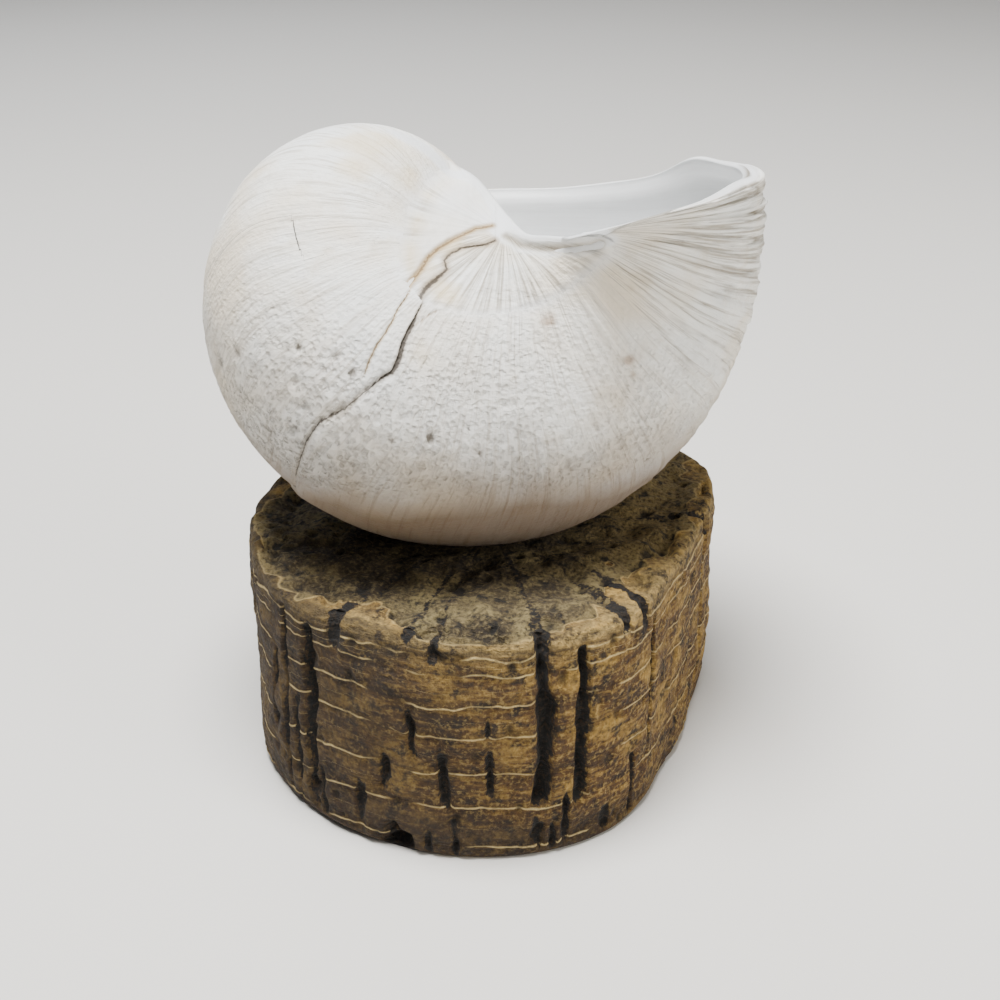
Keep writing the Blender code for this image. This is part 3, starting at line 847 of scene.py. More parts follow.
def build_seal(surface):
    """The skin of callus that seals the umbilicus, crossed by the scar's two lines."""
    flat, height = seal_grid(surface)
    points = np.concatenate([flat, height[..., None]], axis=-1) @ base_axes() * MM
    share, joined = seal_share(flat)

    gap_a, gap_b = (distance_to_line(flat, np.array(line)) for line in (FOLD_A, FOLD_B))
    newer = smoothstep(-0.3, 0.6, past_line(flat, FOLD_A))
    strip = newer * smoothstep(0.5, -0.3, past_line(flat, FOLD_B))
    recess = bell(distance_to_line(flat, np.array(RECESS_LINE)), RECESS_WIDTH)
    rim = bell(distance_to_line(flat, np.array(RIM_LINE)), RIM_WIDTH)
    from_fan = flat - np.array(FAN_MIDDLE)
    radius = np.linalg.norm(from_fan, axis=-1)
    fan = np.arctan2(from_fan[..., 0], -from_fan[..., 1])
    fanned = np.stack([fan, radius / 40, 0 * fan], axis=-1)
    lines = np.abs(noise(fanned, 0.11, 35)) ** 0.75 + 0.6 * np.abs(noise(fanned, 0.045, 36)) ** 0.75

    fanned_out = lines * newer * smoothstep(0, 6, radius) * (1 - rim) * (1 - recess)
    lift = STRIP_RISE * strip + FAN_RELIEF * fanned_out
    grain = SEAL_GRAIN_HEIGHT * rough_noise(points, GRAIN_SIZE, 2, 43)
    lift = lift + grain * (1 - rim) - RECESS_DEPTH * recess * (1 - rim)
    grooves = bell(gap_a, FOLD_A_WIDTH) + 0.8 * bell(gap_b, FOLD_B_WIDTH)
    lift = lift - FOLD_GROOVE * grooves
    lift = lift * (1 - joined * smoothstep(0.9, 1.0, share)) + RIM_RISE * rim * (1 - joined)
    free_edge = smoothstep(0.93, 0.99, share) * (1 - joined)
    lift = lift * (1 - 0.8 * free_edge)
    masks = callus_masks(points)
    masks["smooth"] = np.maximum(masks["smooth"], rim) * (1 - recess * (1 - rim))
    plain = (1 - newer) * (1 - joined * smoothstep(0.7, 0.95, share))
    masks["smooth"] = np.maximum(masks["smooth"], np.maximum(free_edge, 0.7 * plain))
    masks["smooth"] = np.maximum(masks["smooth"], seal_seam(points))
    masks["crease"] = np.clip(0.7 * bell(gap_a, 0.9) + 0.5 * bell(gap_b, 0.8), 0, 1)
    masks["edge_gap"] = gap_a * np.sign(past_line(flat, FOLD_A))
    masks["scar_gap"] = gap_b * np.sign(past_line(flat, FOLD_B))
    masks["scar_wide"] = -0.15 + 0.2 * smoothstep(91, 85, flat[..., 1])
    masks["worn"] = worn_share(-2.5, points) * (1 - masks["smooth"])
    # painted shade in the hollow under the rim and between the fan lines
    shade = 0.25 * newer * np.clip(0.5 - lines, 0, 1) * (1 - joined * smoothstep(0.75, 1.0, share))
    masks["groove"] = np.clip(0.55 * recess * (1 - rim) + shade, 0, 1) * (1 - free_edge)
    masks["growth_place"] = np.stack([fan * 20 * MM, radius * MM, 0 * fan], axis=-1)
    points = points - lift[..., None] * BASE_VIEW
    border, joined = seal_border()
    inward = SEAL_MIDDLE + (border - SEAL_MIDDLE) * SEAL_BACK_SHARES[:, None, None]
    behind = surface(inward) - SEAL_THICKNESS
    back = np.concatenate([inward, behind[..., None]], axis=-1) @ base_axes() * MM
    points = np.concatenate([points, back])
    masks = {name: np.concatenate([mask] + [mask[-1:]] * len(back)) for name, mask in masks.items()}
    return grid_mesh("shell_umbilicus", points, None, masks, cap_start=True, cap_end=True)


def callus_masks(points):
    """What the finish reads on plain callus."""
    names = ("crease", "pit", "underside_painted_shade", "groove", "stained")
    masks = {name: np.zeros(points.shape[:-1]) for name in names}
    masks["worn"] = masks["pit"] + 0.15
    for name in CRACK_GAPS:
        masks[name] = masks["pit"] + FAR_OFF
    masks["scar_wide"] = masks["pit"]
    masks["smooth"] = band_share(points)
    masks["warm"] = warm_share(points)
    masks["growth_place"] = points * (1, 0.1, 0.1)
    return masks


def fuse(things, reach):
    """Fills the creases between overlapping pieces with a soft fillet of this reach."""
    trees = {thing: surface_tree(thing) for thing in things}
    for thing in things:
        lifts = {}
        for vert in thing.data.vertices:
            for other in things:
                found = (None,) if other is thing else trees[other].find_nearest(vert.co, reach)
                if found[0] is not None:
                    lift = (reach - found[3]) ** 2 / (4 * reach)
                    lifts[vert.index] = max(lift, lifts.get(vert.index, 0))
        normals = {i: thing.data.vertices[i].normal.copy() for i in lifts}
        for i, lift in lifts.items():
            thing.data.vertices[i].co += normals[i] * lift


# ---------------------------------------------------------------- the cork's form

CORK_CENTRE = np.array((1.5, -5.12, 0.0)) * MM
CORK_RADII = [r * MM for r in (45, 56, 54, 51, 53, 53, 51, 51, 50.5, 50.5, 48.5, 42.5)]
SEAT_AT = np.array((-1.8, -0.8)) * MM
SEAT_DEPTH = 2.6 * MM
SEAT_RADIUS = 34 * MM
RIM_ROUND = 2.2 * MM
# Where the smooth pale rim is wider: bearing and reach in degrees, and how much wider, in mm.
WIDE_RIM = ((238, 11, 5.5), (318, 22, 8.0), (20, 14, 4.0), (150, 25, 3.0))
# Height of each year's hard line.
RING_HEIGHTS = [z * MM for z in (3.2, 12.4, 20.8, 29.8, 36.8, 43.4, 46.8)]
RING_LINE = 0.45 * MM
# Upright crumbly channels: bearing in degrees, lower end, upper end and width in mm, depth in mm.
CHANNELS = (
    (212, 16, 34, 1.4, 1.2),
    (217, 5, 47, 1.6, 1.6),
    (221, 2, 26, 1.5, 1.4),
    (226, 5, 45, 3.2, 2.8),
    (229, 2, 14, 1.2, 1.2),
    (234, 44, 52, 3.4, 2.0),
    (240, 5, 14, 1.8, 1.2),
    (246, 15, 23, 2.4, 1.8),
    (252, 47, 53, 2.6, 2.0),
    (249, -4, 5, 7.0, 5.0),
    (253, 24, 34, 2.4, 2.0),
    (256, 1, 6, 1.6, 1.2),
    (258, 46, 52, 2.6, 1.8),
    (260, 13, 26, 1.8, 1.6),
    (262, 1, 8, 1.6, 1.2),
    (270, 30, 35, 1.2, 1.2),
    (270, 16, 28, 1.4, 1.3),
    (282, 12, 53, 3.6, 3.2),
    (281, 3, 9, 2.6, 1.6),
    (284, 1, 8, 1.3, 1.2),
    (287, 3, 15, 1.5, 1.4),
    (291, 12, 46, 2.8, 2.6),
    (298, 2, 7, 1.8, 1.2),
    (303, 45, 52, 2.8, 1.8),
    (307, 3, 17, 1.2, 1.2),
    (311, 44, 52, 2.8, 1.8),
    (315, 14, 46, 1.8, 1.8),
    (28, 12, 40, 3.2, 2.2),
    (60, 6, 44, 4.0, 3.0),
    (84, 20, 36, 2.2, 1.6),
    (110, 14, 44, 4.4, 3.2),
    (131, 8, 22, 2.6, 1.8),
    (150, 6, 34, 3.6, 2.6),
    (172, 24, 44, 2.4, 1.8),
    (190, 12, 42, 4.0, 3.0),
)
SIDE_CRACK_BEARING = 2
SIDE_CRACK_WIDTH = 3.0 * MM
SIDE_CRACK_DEPTH = 5.0 * MM
CORK_COLUMNS = 710
# Height between the rows of the flank, and how far in the last row of the top may lie.
FLANK_STEP = 0.4 * MM
TOP_REACH = 42 * MM
# How far in the rim lies when the block has shrunk to its middle.
TO_MIDDLE = 42.6 * MM
BELLY = 0.03
# Lumps and grain of the bark, each with its height and size.
BARK_LUMPS = (0.8 * MM, 17 * MM)
BARK_GRAIN = (0.35 * MM, 5 * MM)
# How far each year's band bulges, and how deep the crumb holes go.
BAND_BULGE = 0.5 * MM
CRUMB_DEPTH = 0.6 * MM
# Width of a hard line, in mm.
RING_LINE_WIDTH = 0.42
CHIP_DEPTH = 2.0 * MM
CHIP_INWARD = 1.2 * MM
# Crumb holes of the flank and the top: size of the cells that may each hold one, and the share that do.
FLANK_CRUMBS = (3.0 * MM, 0.25)
TOP_CRUMBS = (3.6 * MM, 0.35)


def cork_radius(bearing):
    """Radius of the block at these bearings, in degrees: a smooth closed curve through CORK_RADII."""
    place = (bearing % 360) / 30
    i = place.astype(int)
    radii = np.array(CORK_RADII)
    return between(*(radii[(i + k) % 12] for k in (-1, 0, 1, 2)), place - i)


def bearing_gap(bearing, other):
    return (bearing - other + 180) % 360 - 180


def cork_path(settings):
    """Heights of the rows and how far in they lie: up the flank, round the rim and in over the top."""
    low = np.array([0.0, 0.0, 0.15, 0.5, 1.0]) * MM
    inset = np.array([4.0, 1.2, 0.55, 0.2, 0.05]) * MM
    flank = np.arange(1.4 * MM, settings.height - RIM_ROUND, FLANK_STEP)
    bend = np.linspace(0, math.pi / 2, 13)
    rim_height = settings.height - RIM_ROUND + RIM_ROUND * np.sin(bend)
    rim_inset = RIM_ROUND * (1 - np.cos(bend))
    top_inset = RIM_ROUND + np.cumsum(np.linspace(0.38, 0.9, 80)) * MM
    top_inset = top_inset[top_inset < TOP_REACH]
    heights = np.concatenate([low, flank, rim_height, np.full(len(top_inset), settings.height)])
    insets = np.concatenate([inset, 0 * flank, rim_inset, top_inset])
    return heights[:, None], insets[:, None]


def channel_mask(bearing, height, place):
    """Depth of the crumbly channels, and how near the middle of one every point is, 0 to 1."""
    depth = np.zeros(bearing.shape)
    floor = np.zeros(bearing.shape)
    radius = cork_radius(bearing)
    ragged = 0.55 * MM * rough_noise(place * (1, 1, 0.6), 3.4 * MM, 4, 61)
    uneven = 2.2 * MM * noise(place, 3.0 * MM, 60)
    for at, low, high, width, deep in CHANNELS:
        sway = 0.5 * MM * noise(place * (0.2, 0.2, 1), 11 * MM, at)
        swell = 1 + 0.15 * noise(place * (0.2, 0.2, 1), 6 * MM, at + 1)
        off = np.abs(np.radians(bearing_gap(bearing, at)) * radius + sway) + ragged
        across = smoothstep(0.66 * width * MM * swell, 0.1 * width * MM, off)
        ends = smoothstep(low * MM - 2 * MM, low * MM + 3 * MM, height + uneven)
        ends = ends * smoothstep(high * MM + 2 * MM, high * MM - 3 * MM, height + uneven)
        depth = np.maximum(depth, deep * MM * across * ends)
        floor = np.maximum(floor, across * ends)
    return depth, floor


def ring_mask(height, place):
    """Signed distance to the nearest hard line in mm, how unbroken it is, and the share up its band."""
    wave = 1.0 * MM * noise(place * (1, 1, 0.35), 21 * MM, 71)
    wave = wave + 0.55 * MM * noise(place * (1, 1, 0.5), 6 * MM, 72)
    level = height + wave + 0.2 * MM * noise(place * (1, 1, 0.6), 1.6 * MM, 73)
    lines = np.array(RING_HEIGHTS)
    offsets = level[..., None] - lines
    nearest = np.abs(offsets).argmin(axis=-1)
    gap = np.take_along_axis(offsets, nearest[..., None], axis=-1)[..., 0] / MM
    edges = np.concatenate([[-4 * MM], lines, [54 * MM]])
    row = np.clip(np.searchsorted(edges, level) - 1, 0, len(edges) - 2)
    band = np.clip((level - edges[row]) / (edges[row + 1] - edges[row]), 0, 1)
    whole = smoothstep(-0.5, 0.15, rough_noise(place * (1, 1, 0.3), 8 * MM, 2, 74))
    return gap, whole, band


def build_cork(settings):
    heights, insets = cork_path(settings)
    bearing = np.linspace(0, 360, CORK_COLUMNS, endpoint=False)[None, :] + 0 * heights
    height = heights + 0 * bearing
    inset = insets + 0 * bearing
    turn = np.radians(bearing)
    outward = np.stack([np.cos(turn), np.sin(turn), 0 * turn], axis=-1)
    full = cork_radius(bearing)
    shrink = np.clip(1 - inset / TO_MIDDLE, 0.004, 1)
    inside = (full - RIM_ROUND) * shrink / (1 - RIM_ROUND / TO_MIDDLE)
    radius = np.where(inset > RIM_ROUND, inside, full - inset)
    belly = 1 - BELLY * (height / settings.height - 0.5) ** 2
    place = CORK_CENTRE + outward * (radius * belly)[..., None]
    place[..., 2] = height

    rim_wide = sum(
        wide * MM * bell(bearing_gap(bearing, at), reach) for at, reach, wide in WIDE_RIM
    )
    inward = inset - rim_wide + (1.1 * MM + 0.25 * rim_wide) * rough_noise(place, 5 * MM, 3, 59)
    on_top = smoothstep(0.9 * MM, 2.0 * MM, inward) * smoothstep(0.2 * MM, 0.8 * MM, inset)
    pale = bell(inset, 2.5 * MM + rim_wide) * smoothstep(43 * MM, 49.5 * MM, height)
    # painted highlight: the right part of the top is painted paler
    pale = np.maximum(pale, 0.8 * smoothstep(12 * MM, 34 * MM, place[..., 0]) * on_top)
    side = smoothstep(1.4 * RIM_ROUND, 0.7 * RIM_ROUND, inset)
    depth, floor = channel_mask(bearing, height, place)
    depth = depth * settings.channel_depth
    gap, whole, band = ring_mask(height, place)
    crest = bell(gap, RING_LINE_WIDTH) * (0.2 + 0.8 * whole)
    crack_off = np.abs(np.radians(bearing_gap(bearing, SIDE_CRACK_BEARING)) * full)
    crack_off = crack_off + 0.9 * MM * noise(place, 6 * MM, 62)
    crack = smoothstep(SIDE_CRACK_WIDTH / 2, 0, crack_off) * smoothstep(6 * MM, 12 * MM, height)
    lump_height, lump_size = BARK_LUMPS
    grain_height, grain_size = BARK_GRAIN
    lumps = lump_height * noise(place, lump_size, 63) + grain_height * rough_noise(place, grain_size, 4, 64)
    bulge = BAND_BULGE * np.sqrt(np.sin(math.pi * band))
    crumbs = pits(place * (1, 1, 0.7), *FLANK_CRUMBS, 65)
    lines = RING_LINE * crest * (1 - floor)
    out = lumps + bulge + lines - depth - SIDE_CRACK_DEPTH * crack - CRUMB_DEPTH * crumbs

    from_seat = np.hypot(place[..., 0] - SEAT_AT[0], place[..., 1] - SEAT_AT[1])
    dish = SEAT_DEPTH * (1 - smoothstep(4 * MM, SEAT_RADIUS, from_seat))
    loose = smoothstep(12 * MM, 24 * MM, from_seat)
    near_rim = smoothstep(11 * MM, 3 * MM, inset) * smoothstep(0.0, 2 * MM, inset)
    chips = smoothstep(0.05, 0.5, rough_noise(place, 9 * MM, 3, 69)) * near_rim
    top_crumbs = pits(place, *TOP_CRUMBS, 67)
    grain = rough_noise(place, 6 * MM, 5, 66) - 1.1 * top_crumbs
    up = MM * grain * loose * (0.3 + 0.7 * on_top) - dish - CHIP_DEPTH * chips

    foot = smoothstep(0, 2.5 * MM, height)
    points = place + outward * ((out - CHIP_INWARD * chips) * side * foot)[..., None]
    points[..., 2] += up * smoothstep(0.1 * RIM_ROUND, RIM_ROUND, inset) * (height > settings.height / 2)
    masks = {
        "channel": np.clip(floor + crack, 0, 1) * (1 - 0.6 * on_top),
        "line_gap": gap + FAR_OFF * (1 - side),
        "whole": whole,
        "band": band,
        "top": on_top,
        "crumb_pit": np.clip(top_crumbs * on_top + 0.7 * crumbs * side, 0, 1),
        "pale": pale,
        # painted shade: darker towards the foot and on the left front side
        "painted_shade_low_left": smoothstep(14 * MM, 2 * MM, height) * side + 1.1 * np.cos(np.radians(bearing - 200)) * side,
    }
    split = int(np.searchsorted(insets[len(insets) // 2 :, 0], 1.5 * RIM_ROUND)) + len(insets) // 2
    pieces = []
    for name, rows in (("cork_flank", slice(0, split + 1)), ("cork_top", slice(split, None))):
        own = {mask: values[rows] for mask, values in masks.items()}
        at_top = name == "cork_top"
        pieces.append(grid_mesh(name, points[rows], None, own, cap_start=not at_top, cap_end=at_top))
    return pieces


# ---------------------------------------------------------------- materials


def new_material(name):
    made = bpy.data.materials.new(name)
    made.use_nodes = True
    made.node_tree.nodes.clear()
    return made, made.node_tree


def add_node(tree, kind, inputs=None, **settings):
    """Adds a node with these settings. Inputs are values, or the sockets that feed them, by identifier."""
    node = tree.nodes.new(kind)
    for name, value in settings.items():
        setattr(node, name, value)
    sockets = {socket.identifier: socket for socket in node.inputs}
    for name, value in (inputs or {}).items():
        if isinstance(value, bpy.types.NodeSocket):
            tree.links.new(value, sockets[name])
        else:
            sockets[name].default_value = value
    return node


def layered(tree, colour, layers):
    """Lays colours over one another. Each has a mask, its values for none and full, a colour and a share."""
    for mask, none, full, over, share in layers:
        amount = add_node(
            tree, "ShaderNodeMapRange", {"Value": mask, "From Min": none, "From Max": full, "To Max": share}
        )
        inputs = {"Factor_Float": amount.outputs["Result"], "A_Color": colour, "B_Color": over}
        colour = add_node(tree, "ShaderNodeMix", inputs, data_type="RGBA").outputs[2]  # the colour result
    return colour


def material_inputs(tree, names, patterns):
    """The sockets a finish is mixed from: a piece's masks, and noise patterns, both by name.

    A pattern has its place, the size of one lump with its gap, its stretch along X, Y and Z, and its detail.
    """
    masks, drawn = {}, {}
    for name in names:
        masks[name] = add_node(tree, "ShaderNodeAttribute", attribute_name=name).outputs["Fac"]
    for name, (where, size, stretch, detail) in patterns.items():
        scale = [1 / (size * part) for part in stretch]
        scaled = add_node(tree, "ShaderNodeMapping", {"Vector": where, "Scale": scale}).outputs["Vector"]
        inputs = {"Vector": scaled, "Scale": 1.0, "Detail": detail, "Roughness": 0.62}
        drawn[name] = add_node(tree, "ShaderNodeTexNoise", inputs).outputs["Fac"]
    return masks, drawn


def shell_material(settings):
    """Aragonite, laid down by the animal in growth lines, then dulled and etched by sand and sea.

    Chalky and matt outside, with fine lines across the whorl. Denser and smoother on the callus and inside.
    """
    made, tree = new_material("weathered aragonite")
    place = add_node(tree, "ShaderNodeAttribute", attribute_name="growth_place").outputs["Vector"]
    solid = add_node(tree, "ShaderNodeTexCoord").outputs["Object"]
    names = ("crease", "worn", "pit", "smooth", "underside_painted_shade", "groove", "warm", "scar_wide", "stained")
    # Growth lines come about every 1.1 mm and bands every 4 mm, and both run on round the whorl. Warm patches
    # come every 34 mm, stains every 9 mm, the chalk's grain every 0.9 mm and etched hollows every 0.7 mm.
    mask, drawn = material_inputs(tree, names, {
        "lines": (place, 1.1 * MM, (1, 20, 20), 4.0),
        "bands": (place, 4.0 * MM, (1, 14, 14), 3.0),
        "patches": (solid, 34 * MM, (1, 1, 1), 3.0),
        "stains": (solid, 9 * MM, (1, 1, 1), 5.0),
        "grain": (solid, 0.9 * MM, (1.5, 1, 0.8), 4.0),
        "etching": (solid, 0.7 * MM, (1.2, 1, 0.9), 4.0),
    })
    # The lines stand out as ridges on the youngest part, beside the lip; the dents between them are painted
    # darker, partly painted shade and partly dirt.
    from_lip = add_node(tree, "ShaderNodeSeparateXYZ", {"Vector": place}).outputs["X"]
    ribbed = add_node(
        tree, "ShaderNodeMapRange", {"Value": from_lip, "From Min": -0.15, "From Max": -0.03}
    ).outputs["Result"]
    ribs = add_node(
        tree, "ShaderNodeMath", {"Value": drawn["lines"], "Value_001": ribbed}, operation="MULTIPLY"
    ).outputs["Value"]
    # Distance in mm to each crack, with ragged sides.
    cracks = {}
    for name in CRACK_GAPS:
        gap = add_node(tree, "ShaderNodeAttribute", attribute_name=name).outputs["Fac"]
        for operation, value in (("ADD", drawn["grain"]), ("SUBTRACT", 0.5), ("ABSOLUTE", 0.0)):
            gap = add_node(
                tree, "ShaderNodeMath", {"Value": gap, "Value_001": value}, operation=operation
            ).outputs["Value"]
        cracks[name] = gap
    inputs = {"Value": cracks["scar_gap"], "Value_001": mask["scar_wide"]}
    from_scar = add_node(tree, "ShaderNodeMath", inputs, operation="SUBTRACT").outputs["Value"]
    pocks = add_node(
        tree, "ShaderNodeTexVoronoi", {"Vector": solid, "Scale": 1 / (1.1 * MM)}
    ).outputs["Distance"]
    etched = add_node(
        tree, "ShaderNodeMath", {"Value": drawn["etching"], "Value_001": pocks}, operation="ADD"
    ).outputs["Value"]
    hollows = add_node(
        tree, "ShaderNodeMapRange", {"Value": etched, "From Min": 1.1, "From Max": 0.6}
    ).outputs["Result"]
    hollows = add_node(
        tree, "ShaderNodeMath", {"Value": hollows, "Value_001": mask["worn"]}, operation="MULTIPLY"
    ).outputs["Value"]
    colour = layered(tree, tuple(settings.chalk), (
        (drawn["patches"], 0.48, 0.66, linear("#E6D6BA"), 0.75),
        (drawn["patches"], 0.46, 0.34, linear("#E3E6E5"), 0.8),
        (drawn["stains"], 0.56, 0.74, linear("#CDBB9C"), 0.5),
        (drawn["bands"], 0.5, 0.68, linear("#D3CBBE"), 0.45),
        (drawn["lines"], 0.53, 0.64, linear("#ABA293"), 0.55),
        # painted shade, partly also dirt, in the dents between the ridges beside the lip
        (ribs, 0.44, 0.6, linear("#8A7F6C"), 0.6),
        (mask["warm"], 0.0, 1.0, linear("#DFCB9F"), 0.6),
        (mask["worn"], 0.1, 1.0, linear("#D3CBBF"), 0.4),
        # painted shade: dark warm brown towards the bottom of the shell
        (mask["underside_painted_shade"], 0.05, 0.9, linear("#5C4529"), 0.9),
        (mask["smooth"], 0.0, 1.0, tuple(settings.callus), 0.92),
        (hollows, 0.3, 0.9, linear("#9A9080"), 0.28),
        (mask["pit"], 0.25, 0.8, linear("#5E5344"), 0.7),
        (mask["stained"], 0.1, 0.9, linear("#8C6844"), 0.6),
        # painted shade, partly also dirt, in the grooves and in the hollow under the rim
        (mask["groove"], 0.1, 0.8, linear("#766B58"), 0.85),
        (mask["crease"], 0.1, 0.7, tuple(settings.stain), 0.8),
        (cracks["edge_gap"], 0.9, 0.3, linear("#B39C70"), 0.6),
        (cracks["edge_gap"], 0.32, 0.12, linear("#6B5534"), 0.85),
        (from_scar, 1.4, 0.4, linear("#A69A88"), 0.55),
        (from_scar, 0.5, 0.2, linear("#3B332A"), 0.9),
        (cracks["pin_gap"], 0.7, 0.35, linear("#2A251E"), 0.95),
    ))
    rough = add_node(
        tree, "ShaderNodeMapRange", {"Value": mask["smooth"], "To Min": 0.82, "To Max": 0.46}
    ).outputs["Result"]
    lined = add_node(
        tree, "ShaderNodeMath", {"Value": drawn["lines"], "Value_001": drawn["bands"]}, operation="ADD"
    ).outputs["Value"]
    rough_side = add_node(
        tree, "ShaderNodeMapRange", {"Value": mask["smooth"], "To Min": 1.0, "To Max": 0.1}
    ).outputs["Result"]
    normal = add_node(
        tree, "ShaderNodeBump", {"Strength": 1.0, "Distance": 0.55 * MM, "Height": hollows}, invert=True
    ).outputs["Normal"]
    for height, distance in ((lined, 0.3 * MM), (ribs, -0.6 * MM), (drawn["grain"], 0.3 * MM)):
        normal = add_node(
            tree, "ShaderNodeBump",
            {"Strength": rough_side, "Distance": distance, "Height": height, "Normal": normal},
        ).outputs["Normal"]
    inputs = {"Base Color": colour, "Roughness": rough, "Normal": normal}
    shader = add_node(tree, "ShaderNodeBsdfPrincipled", inputs)
    add_node(tree, "ShaderNodeOutputMaterial", {"Surface": shader.outputs["BSDF"]})
    return made


def cork_material(settings):
    """Cork bark, cut across its yearly layers and long weathered.

    Dry and matt, gold-brown on the sides with pale hard lines between the years. The channels are black and
    crumbly, and the top is dark and granular.
    """
    made, tree = new_material("weathered cork bark")
    solid = add_node(tree, "ShaderNodeTexCoord").outputs["Object"]
    names = ("channel", "line_gap", "whole", "band", "top", "crumb_pit", "pale", "painted_shade_low_left")
    # Mottling of 11 mm, blots of 4 mm, layers 1 mm thick, crumbs of 0.9 and 3.2 mm, ragged channel sides of
    # 1.3 mm, and breaks of 2 mm in the ring lines.
    mask, drawn = material_inputs(tree, names, {
        "mottle": (solid, 11 * MM, (1, 1, 0.7), 6.0),
        "blots": (solid, 4 * MM, (1, 1, 0.8), 4.0),
        "layers": (solid, 1.0 * MM, (6, 6, 1), 4.0),
        "grain": (solid, 0.9 * MM, (1, 1, 1), 4.0),
        "lumps": (solid, 3.2 * MM, (1, 1, 1), 5.0),
        "fringe": (solid, 1.3 * MM, (0.8, 0.8, 1.3), 5.0),
        "broken": (solid, 2.0 * MM, (1.5, 1.5, 0.6), 3.0),
    })
    off_line = add_node(
        tree, "ShaderNodeMath", {"Value": mask["line_gap"]}, operation="ABSOLUTE"
    ).outputs["Value"]
    line = add_node(
        tree, "ShaderNodeMapRange", {"Value": off_line, "From Min": 0.38, "From Max": 0.06}
    ).outputs["Result"]
    for share in (mask["whole"], drawn["broken"]):
        line = add_node(
            tree, "ShaderNodeMath", {"Value": line, "Value_001": share}, operation="MULTIPLY"
        ).outputs["Value"]
    ragged = add_node(
        tree, "ShaderNodeMath",
        {"Value": drawn["fringe"], "Value_001": 1.6, "Value_002": mask["channel"]}, operation="MULTIPLY_ADD",
    ).outputs["Value"]
    side = layered(tree, tuple(settings.bark), (
        (drawn["mottle"], 0.5, 0.64, linear("#9A7A38"), 0.9),
        (drawn["mottle"], 0.5, 0.38, linear("#33210B"), 0.9),
        (mask["pale"], 0.1, 1.0, linear("#978150"), 0.7),
        (drawn["layers"], 0.52, 0.70, linear("#B08C42"), 0.6),
        (drawn["layers"], 0.47, 0.32, linear("#231607"), 0.75),
        (mask["band"], 0.25, 0.0, linear("#33220D"), 0.65),
        (drawn["blots"], 0.54, 0.64, linear("#150D05"), 0.88),
        (drawn["grain"], 0.52, 0.66, linear("#C2A25C"), 0.45),
        (drawn["grain"], 0.46, 0.34, linear("#1B1005"), 0.6),
        # painted shade towards the foot and on the left front side
        (mask["painted_shade_low_left"], 0.0, 1.0, linear("#22170A"), 0.75),
        (line, 0.12, 0.5, tuple(settings.ring), 0.75),
    ))
    top = layered(tree, linear("#433822"), (
        (drawn["mottle"], 0.5, 0.64, linear("#7E7049"), 0.8),
        (drawn["mottle"], 0.48, 0.38, linear("#20170A"), 0.8),
        # on the right of the top this pale mask is a painted highlight
        (mask["pale"], 0.1, 1.0, linear("#94804E"), 0.6),
        (drawn["grain"], 0.5, 0.66, linear("#8E7E57"), 0.4),
        (drawn["grain"], 0.48, 0.36, linear("#1A130A"), 0.7),
        (drawn["lumps"], 0.44, 0.36, linear("#0D0A06"), 0.9),
    ))
    crumb = layered(tree, tuple(settings.crumb), ((drawn["grain"], 0.5, 0.66, linear("#3A2B17"), 0.7),))
    colour = layered(tree, side, (
        # painted highlight along the edge where the flank turns onto the top
        (mask["top"], 0.02, 0.2, linear("#C2AA72"), 0.4),
        (mask["top"], 0.3, 0.7, top, 1.0),
        (mask["crumb_pit"], 0.15, 0.7, linear("#0F0B06"), 0.85),
        (ragged, 0.98, 1.16, linear("#2A1D0D"), 0.75),
        (ragged, 1.12, 1.2, crumb, 0.97),
    ))
    fine = add_node(
        tree, "ShaderNodeMath", {"Value": drawn["layers"], "Value_001": drawn["grain"]}, operation="ADD"
    ).outputs["Value"]
    bump = add_node(
        tree, "ShaderNodeBump", {"Strength": 1.0, "Distance": 1.2 * MM, "Height": fine}
    ).outputs["Normal"]
    inputs = {"Base Color": colour, "Roughness": 0.9, "Normal": bump}
    shader = add_node(tree, "ShaderNodeBsdfPrincipled", inputs)
    add_node(tree, "ShaderNodeOutputMaterial", {"Surface": shader.outputs["BSDF"]})
    return made


def floor_material(settings):
    """Matt painted board, rolled smooth."""
    made, tree = new_material("matt painted board")
    inputs = {"Base Color": tuple(settings.floor), "Roughness": 0.85}
    shader = add_node(tree, "ShaderNodeBsdfPrincipled", inputs)
    add_node(tree, "ShaderNodeOutputMaterial", {"Surface": shader.outputs["BSDF"]})
    return made


# ---------------------------------------------------------------- stage

FLOOR_REACH = 3.0
LIT_MIDDLE = (0.0, 0.0, 0.06)
CAMERA_AT = (3.5 * MM, -287.1 * MM, 197.7 * MM)
# How far down the camera looks, in degrees.
CAMERA_DOWN = 26.984


def add_light(name, place, target, size, watts, colour):
    light = bpy.data.lights.new(name, "AREA")
    light.shape = "DISK"
    light.size = size
    light.energy = watts
    light.color = linear(colour)[:3]
    thing = add_object(name, light)
    thing.location = place
    thing.rotation_euler = (Vector(target) - Vector(place)).to_track_quat("-Z", "Y").to_euler()


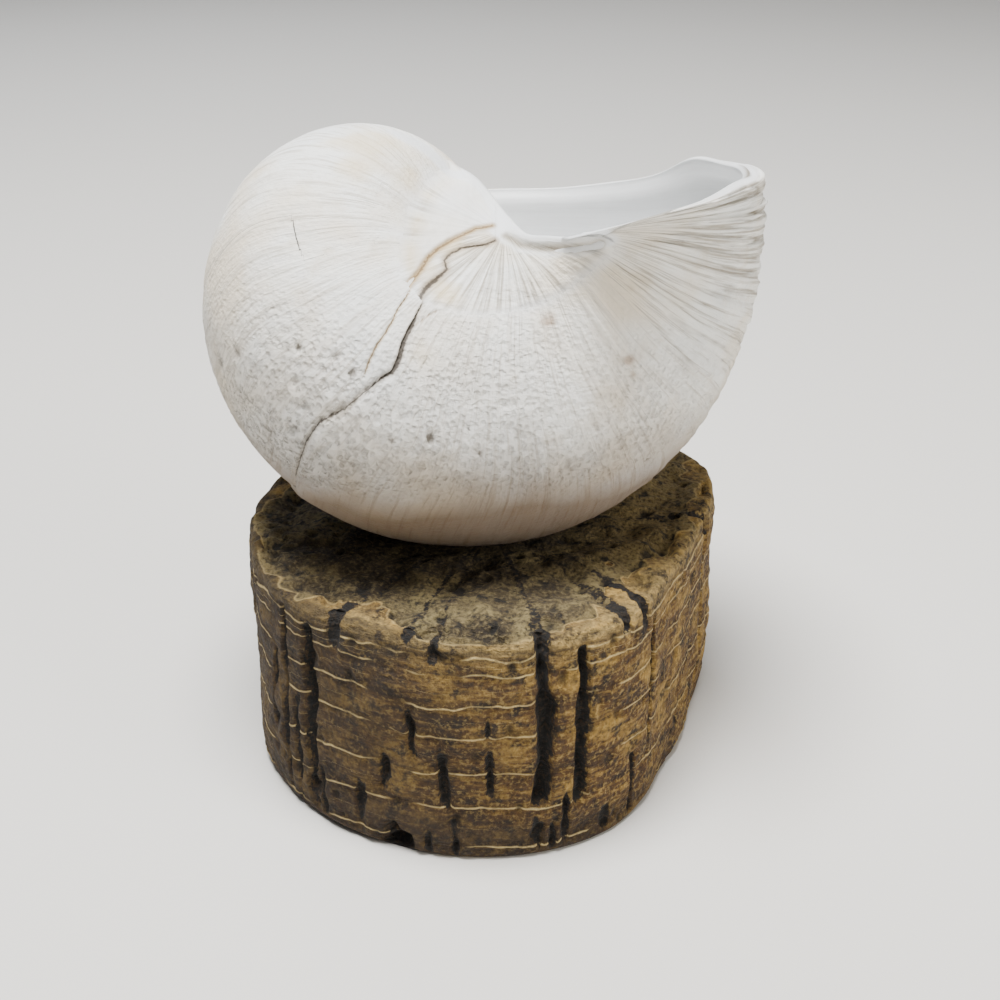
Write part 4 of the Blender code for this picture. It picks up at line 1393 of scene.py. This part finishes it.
def build_stage(settings):
    """Pale floor, soft lights, and a camera that looks down at the front."""
    data = bpy.data.meshes.new("floor")
    corners = [(x * FLOOR_REACH, y * FLOOR_REACH, 0) for x, y in ((-1, -1), (1, -1), (1, 1), (-1, 1))]
    data.from_pydata(corners, [], [(0, 1, 2, 3)])
    data.materials.append(floor_material(settings))
    add_object("floor", data)

    add_light("top light", (-0.08, -0.10, 0.95), LIT_MIDDLE, 0.42, settings.light, "#FFFFFF")
    add_light("side fill", (0.9, -0.5, 0.5), LIT_MIDDLE, 0.6, settings.light * 0.32, "#FFF9F0")
    add_light("back light", (-0.3, 0.9, 0.7), LIT_MIDDLE, 0.6, settings.light * 0.12, "#EAF2FF")

    world = bpy.data.worlds.new("soft room")
    world.use_nodes = True
    world.node_tree.nodes["Background"].inputs["Color"].default_value = linear("#E2E4E8")
    world.node_tree.nodes["Background"].inputs["Strength"].default_value = 0.22
    bpy.context.scene.world = world

    camera = bpy.data.cameras.new("camera")
    camera.sensor_width = 36
    camera.lens = 54
    camera.clip_start = 0.01
    view = add_object("camera", camera)
    view.location = CAMERA_AT
    view.rotation_euler = (math.radians(90 - CAMERA_DOWN), 0, 0)
    bpy.context.scene.camera = view


# ---------------------------------------------------------------- add-on


class SHELL_OT_build_shell(bpy.types.Operator):
    """Builds the coiled shell with its callus"""

    bl_idname = "moon_snail.build_shell"
    bl_label = "Build shell"

    def execute(self, context):
        settings = context.scene.moon_snail_shell
        finish = shell_material(settings)
        pieces = [build_shell(settings), build_inner_lip()]
        fuse(pieces, CALLUS_BLEND)
        surface = seal_surface(pieces)
        for piece in pieces:
            sink_below(piece, surface)
        pieces.append(build_seal(surface))
        for piece in pieces:
            piece.data.materials.append(finish)
            link_to_part(piece, "moon_snail_shell")
        return {"FINISHED"}


class SHELL_OT_build_cork(bpy.types.Operator):
    """Builds the cork block that the shell rests on"""

    bl_idname = "moon_snail.build_cork"
    bl_label = "Build cork"

    def execute(self, context):
        settings = context.scene.moon_snail_cork
        finish = cork_material(settings)
        for piece in build_cork(settings):
            piece.data.materials.append(finish)
            link_to_part(piece, "cork_stand")
        return {"FINISHED"}


class SHELL_OT_build_stage(bpy.types.Operator):
    """Builds the floor, the lights and the camera"""

    bl_idname = "moon_snail.build_stage"
    bl_label = "Build stage"

    def execute(self, context):
        build_stage(context.scene.moon_snail_stage)
        return {"FINISHED"}


class SHELL_PT_panel(bpy.types.Panel):
    bl_label = "Moon snail shell"
    bl_idname = "SHELL_PT_panel"
    bl_space_type = "VIEW_3D"
    bl_region_type = "UI"
    bl_category = "Shell"

    def draw(self, context):
        scene = context.scene
        for settings, operator in (
            (scene.moon_snail_shell, "moon_snail.build_shell"),
            (scene.moon_snail_cork, "moon_snail.build_cork"),
            (scene.moon_snail_stage, "moon_snail.build_stage"),
        ):
            box = self.layout.box()
            for name in settings.bl_rna.properties.keys():
                if name not in ("rna_type", "name"):
                    box.prop(settings, name)
            box.operator(operator)


CLASSES = (
    ShellSettings,
    CorkSettings,
    StageSettings,
    SHELL_OT_build_shell,
    SHELL_OT_build_cork,
    SHELL_OT_build_stage,
    SHELL_PT_panel,
)


def register():
    for made in CLASSES:
        bpy.utils.register_class(made)
    bpy.types.Scene.moon_snail_shell = PointerProperty(type=ShellSettings)
    bpy.types.Scene.moon_snail_cork = PointerProperty(type=CorkSettings)
    bpy.types.Scene.moon_snail_stage = PointerProperty(type=StageSettings)


def unregister():
    del bpy.types.Scene.moon_snail_stage
    del bpy.types.Scene.moon_snail_cork
    del bpy.types.Scene.moon_snail_shell
    for made in reversed(CLASSES):
        bpy.utils.unregister_class(made)


def main():
    register()
    bpy.ops.moon_snail.build_shell()
    bpy.ops.moon_snail.build_cork()
    bpy.ops.moon_snail.build_stage()


if __name__ == "__main__":
    main()
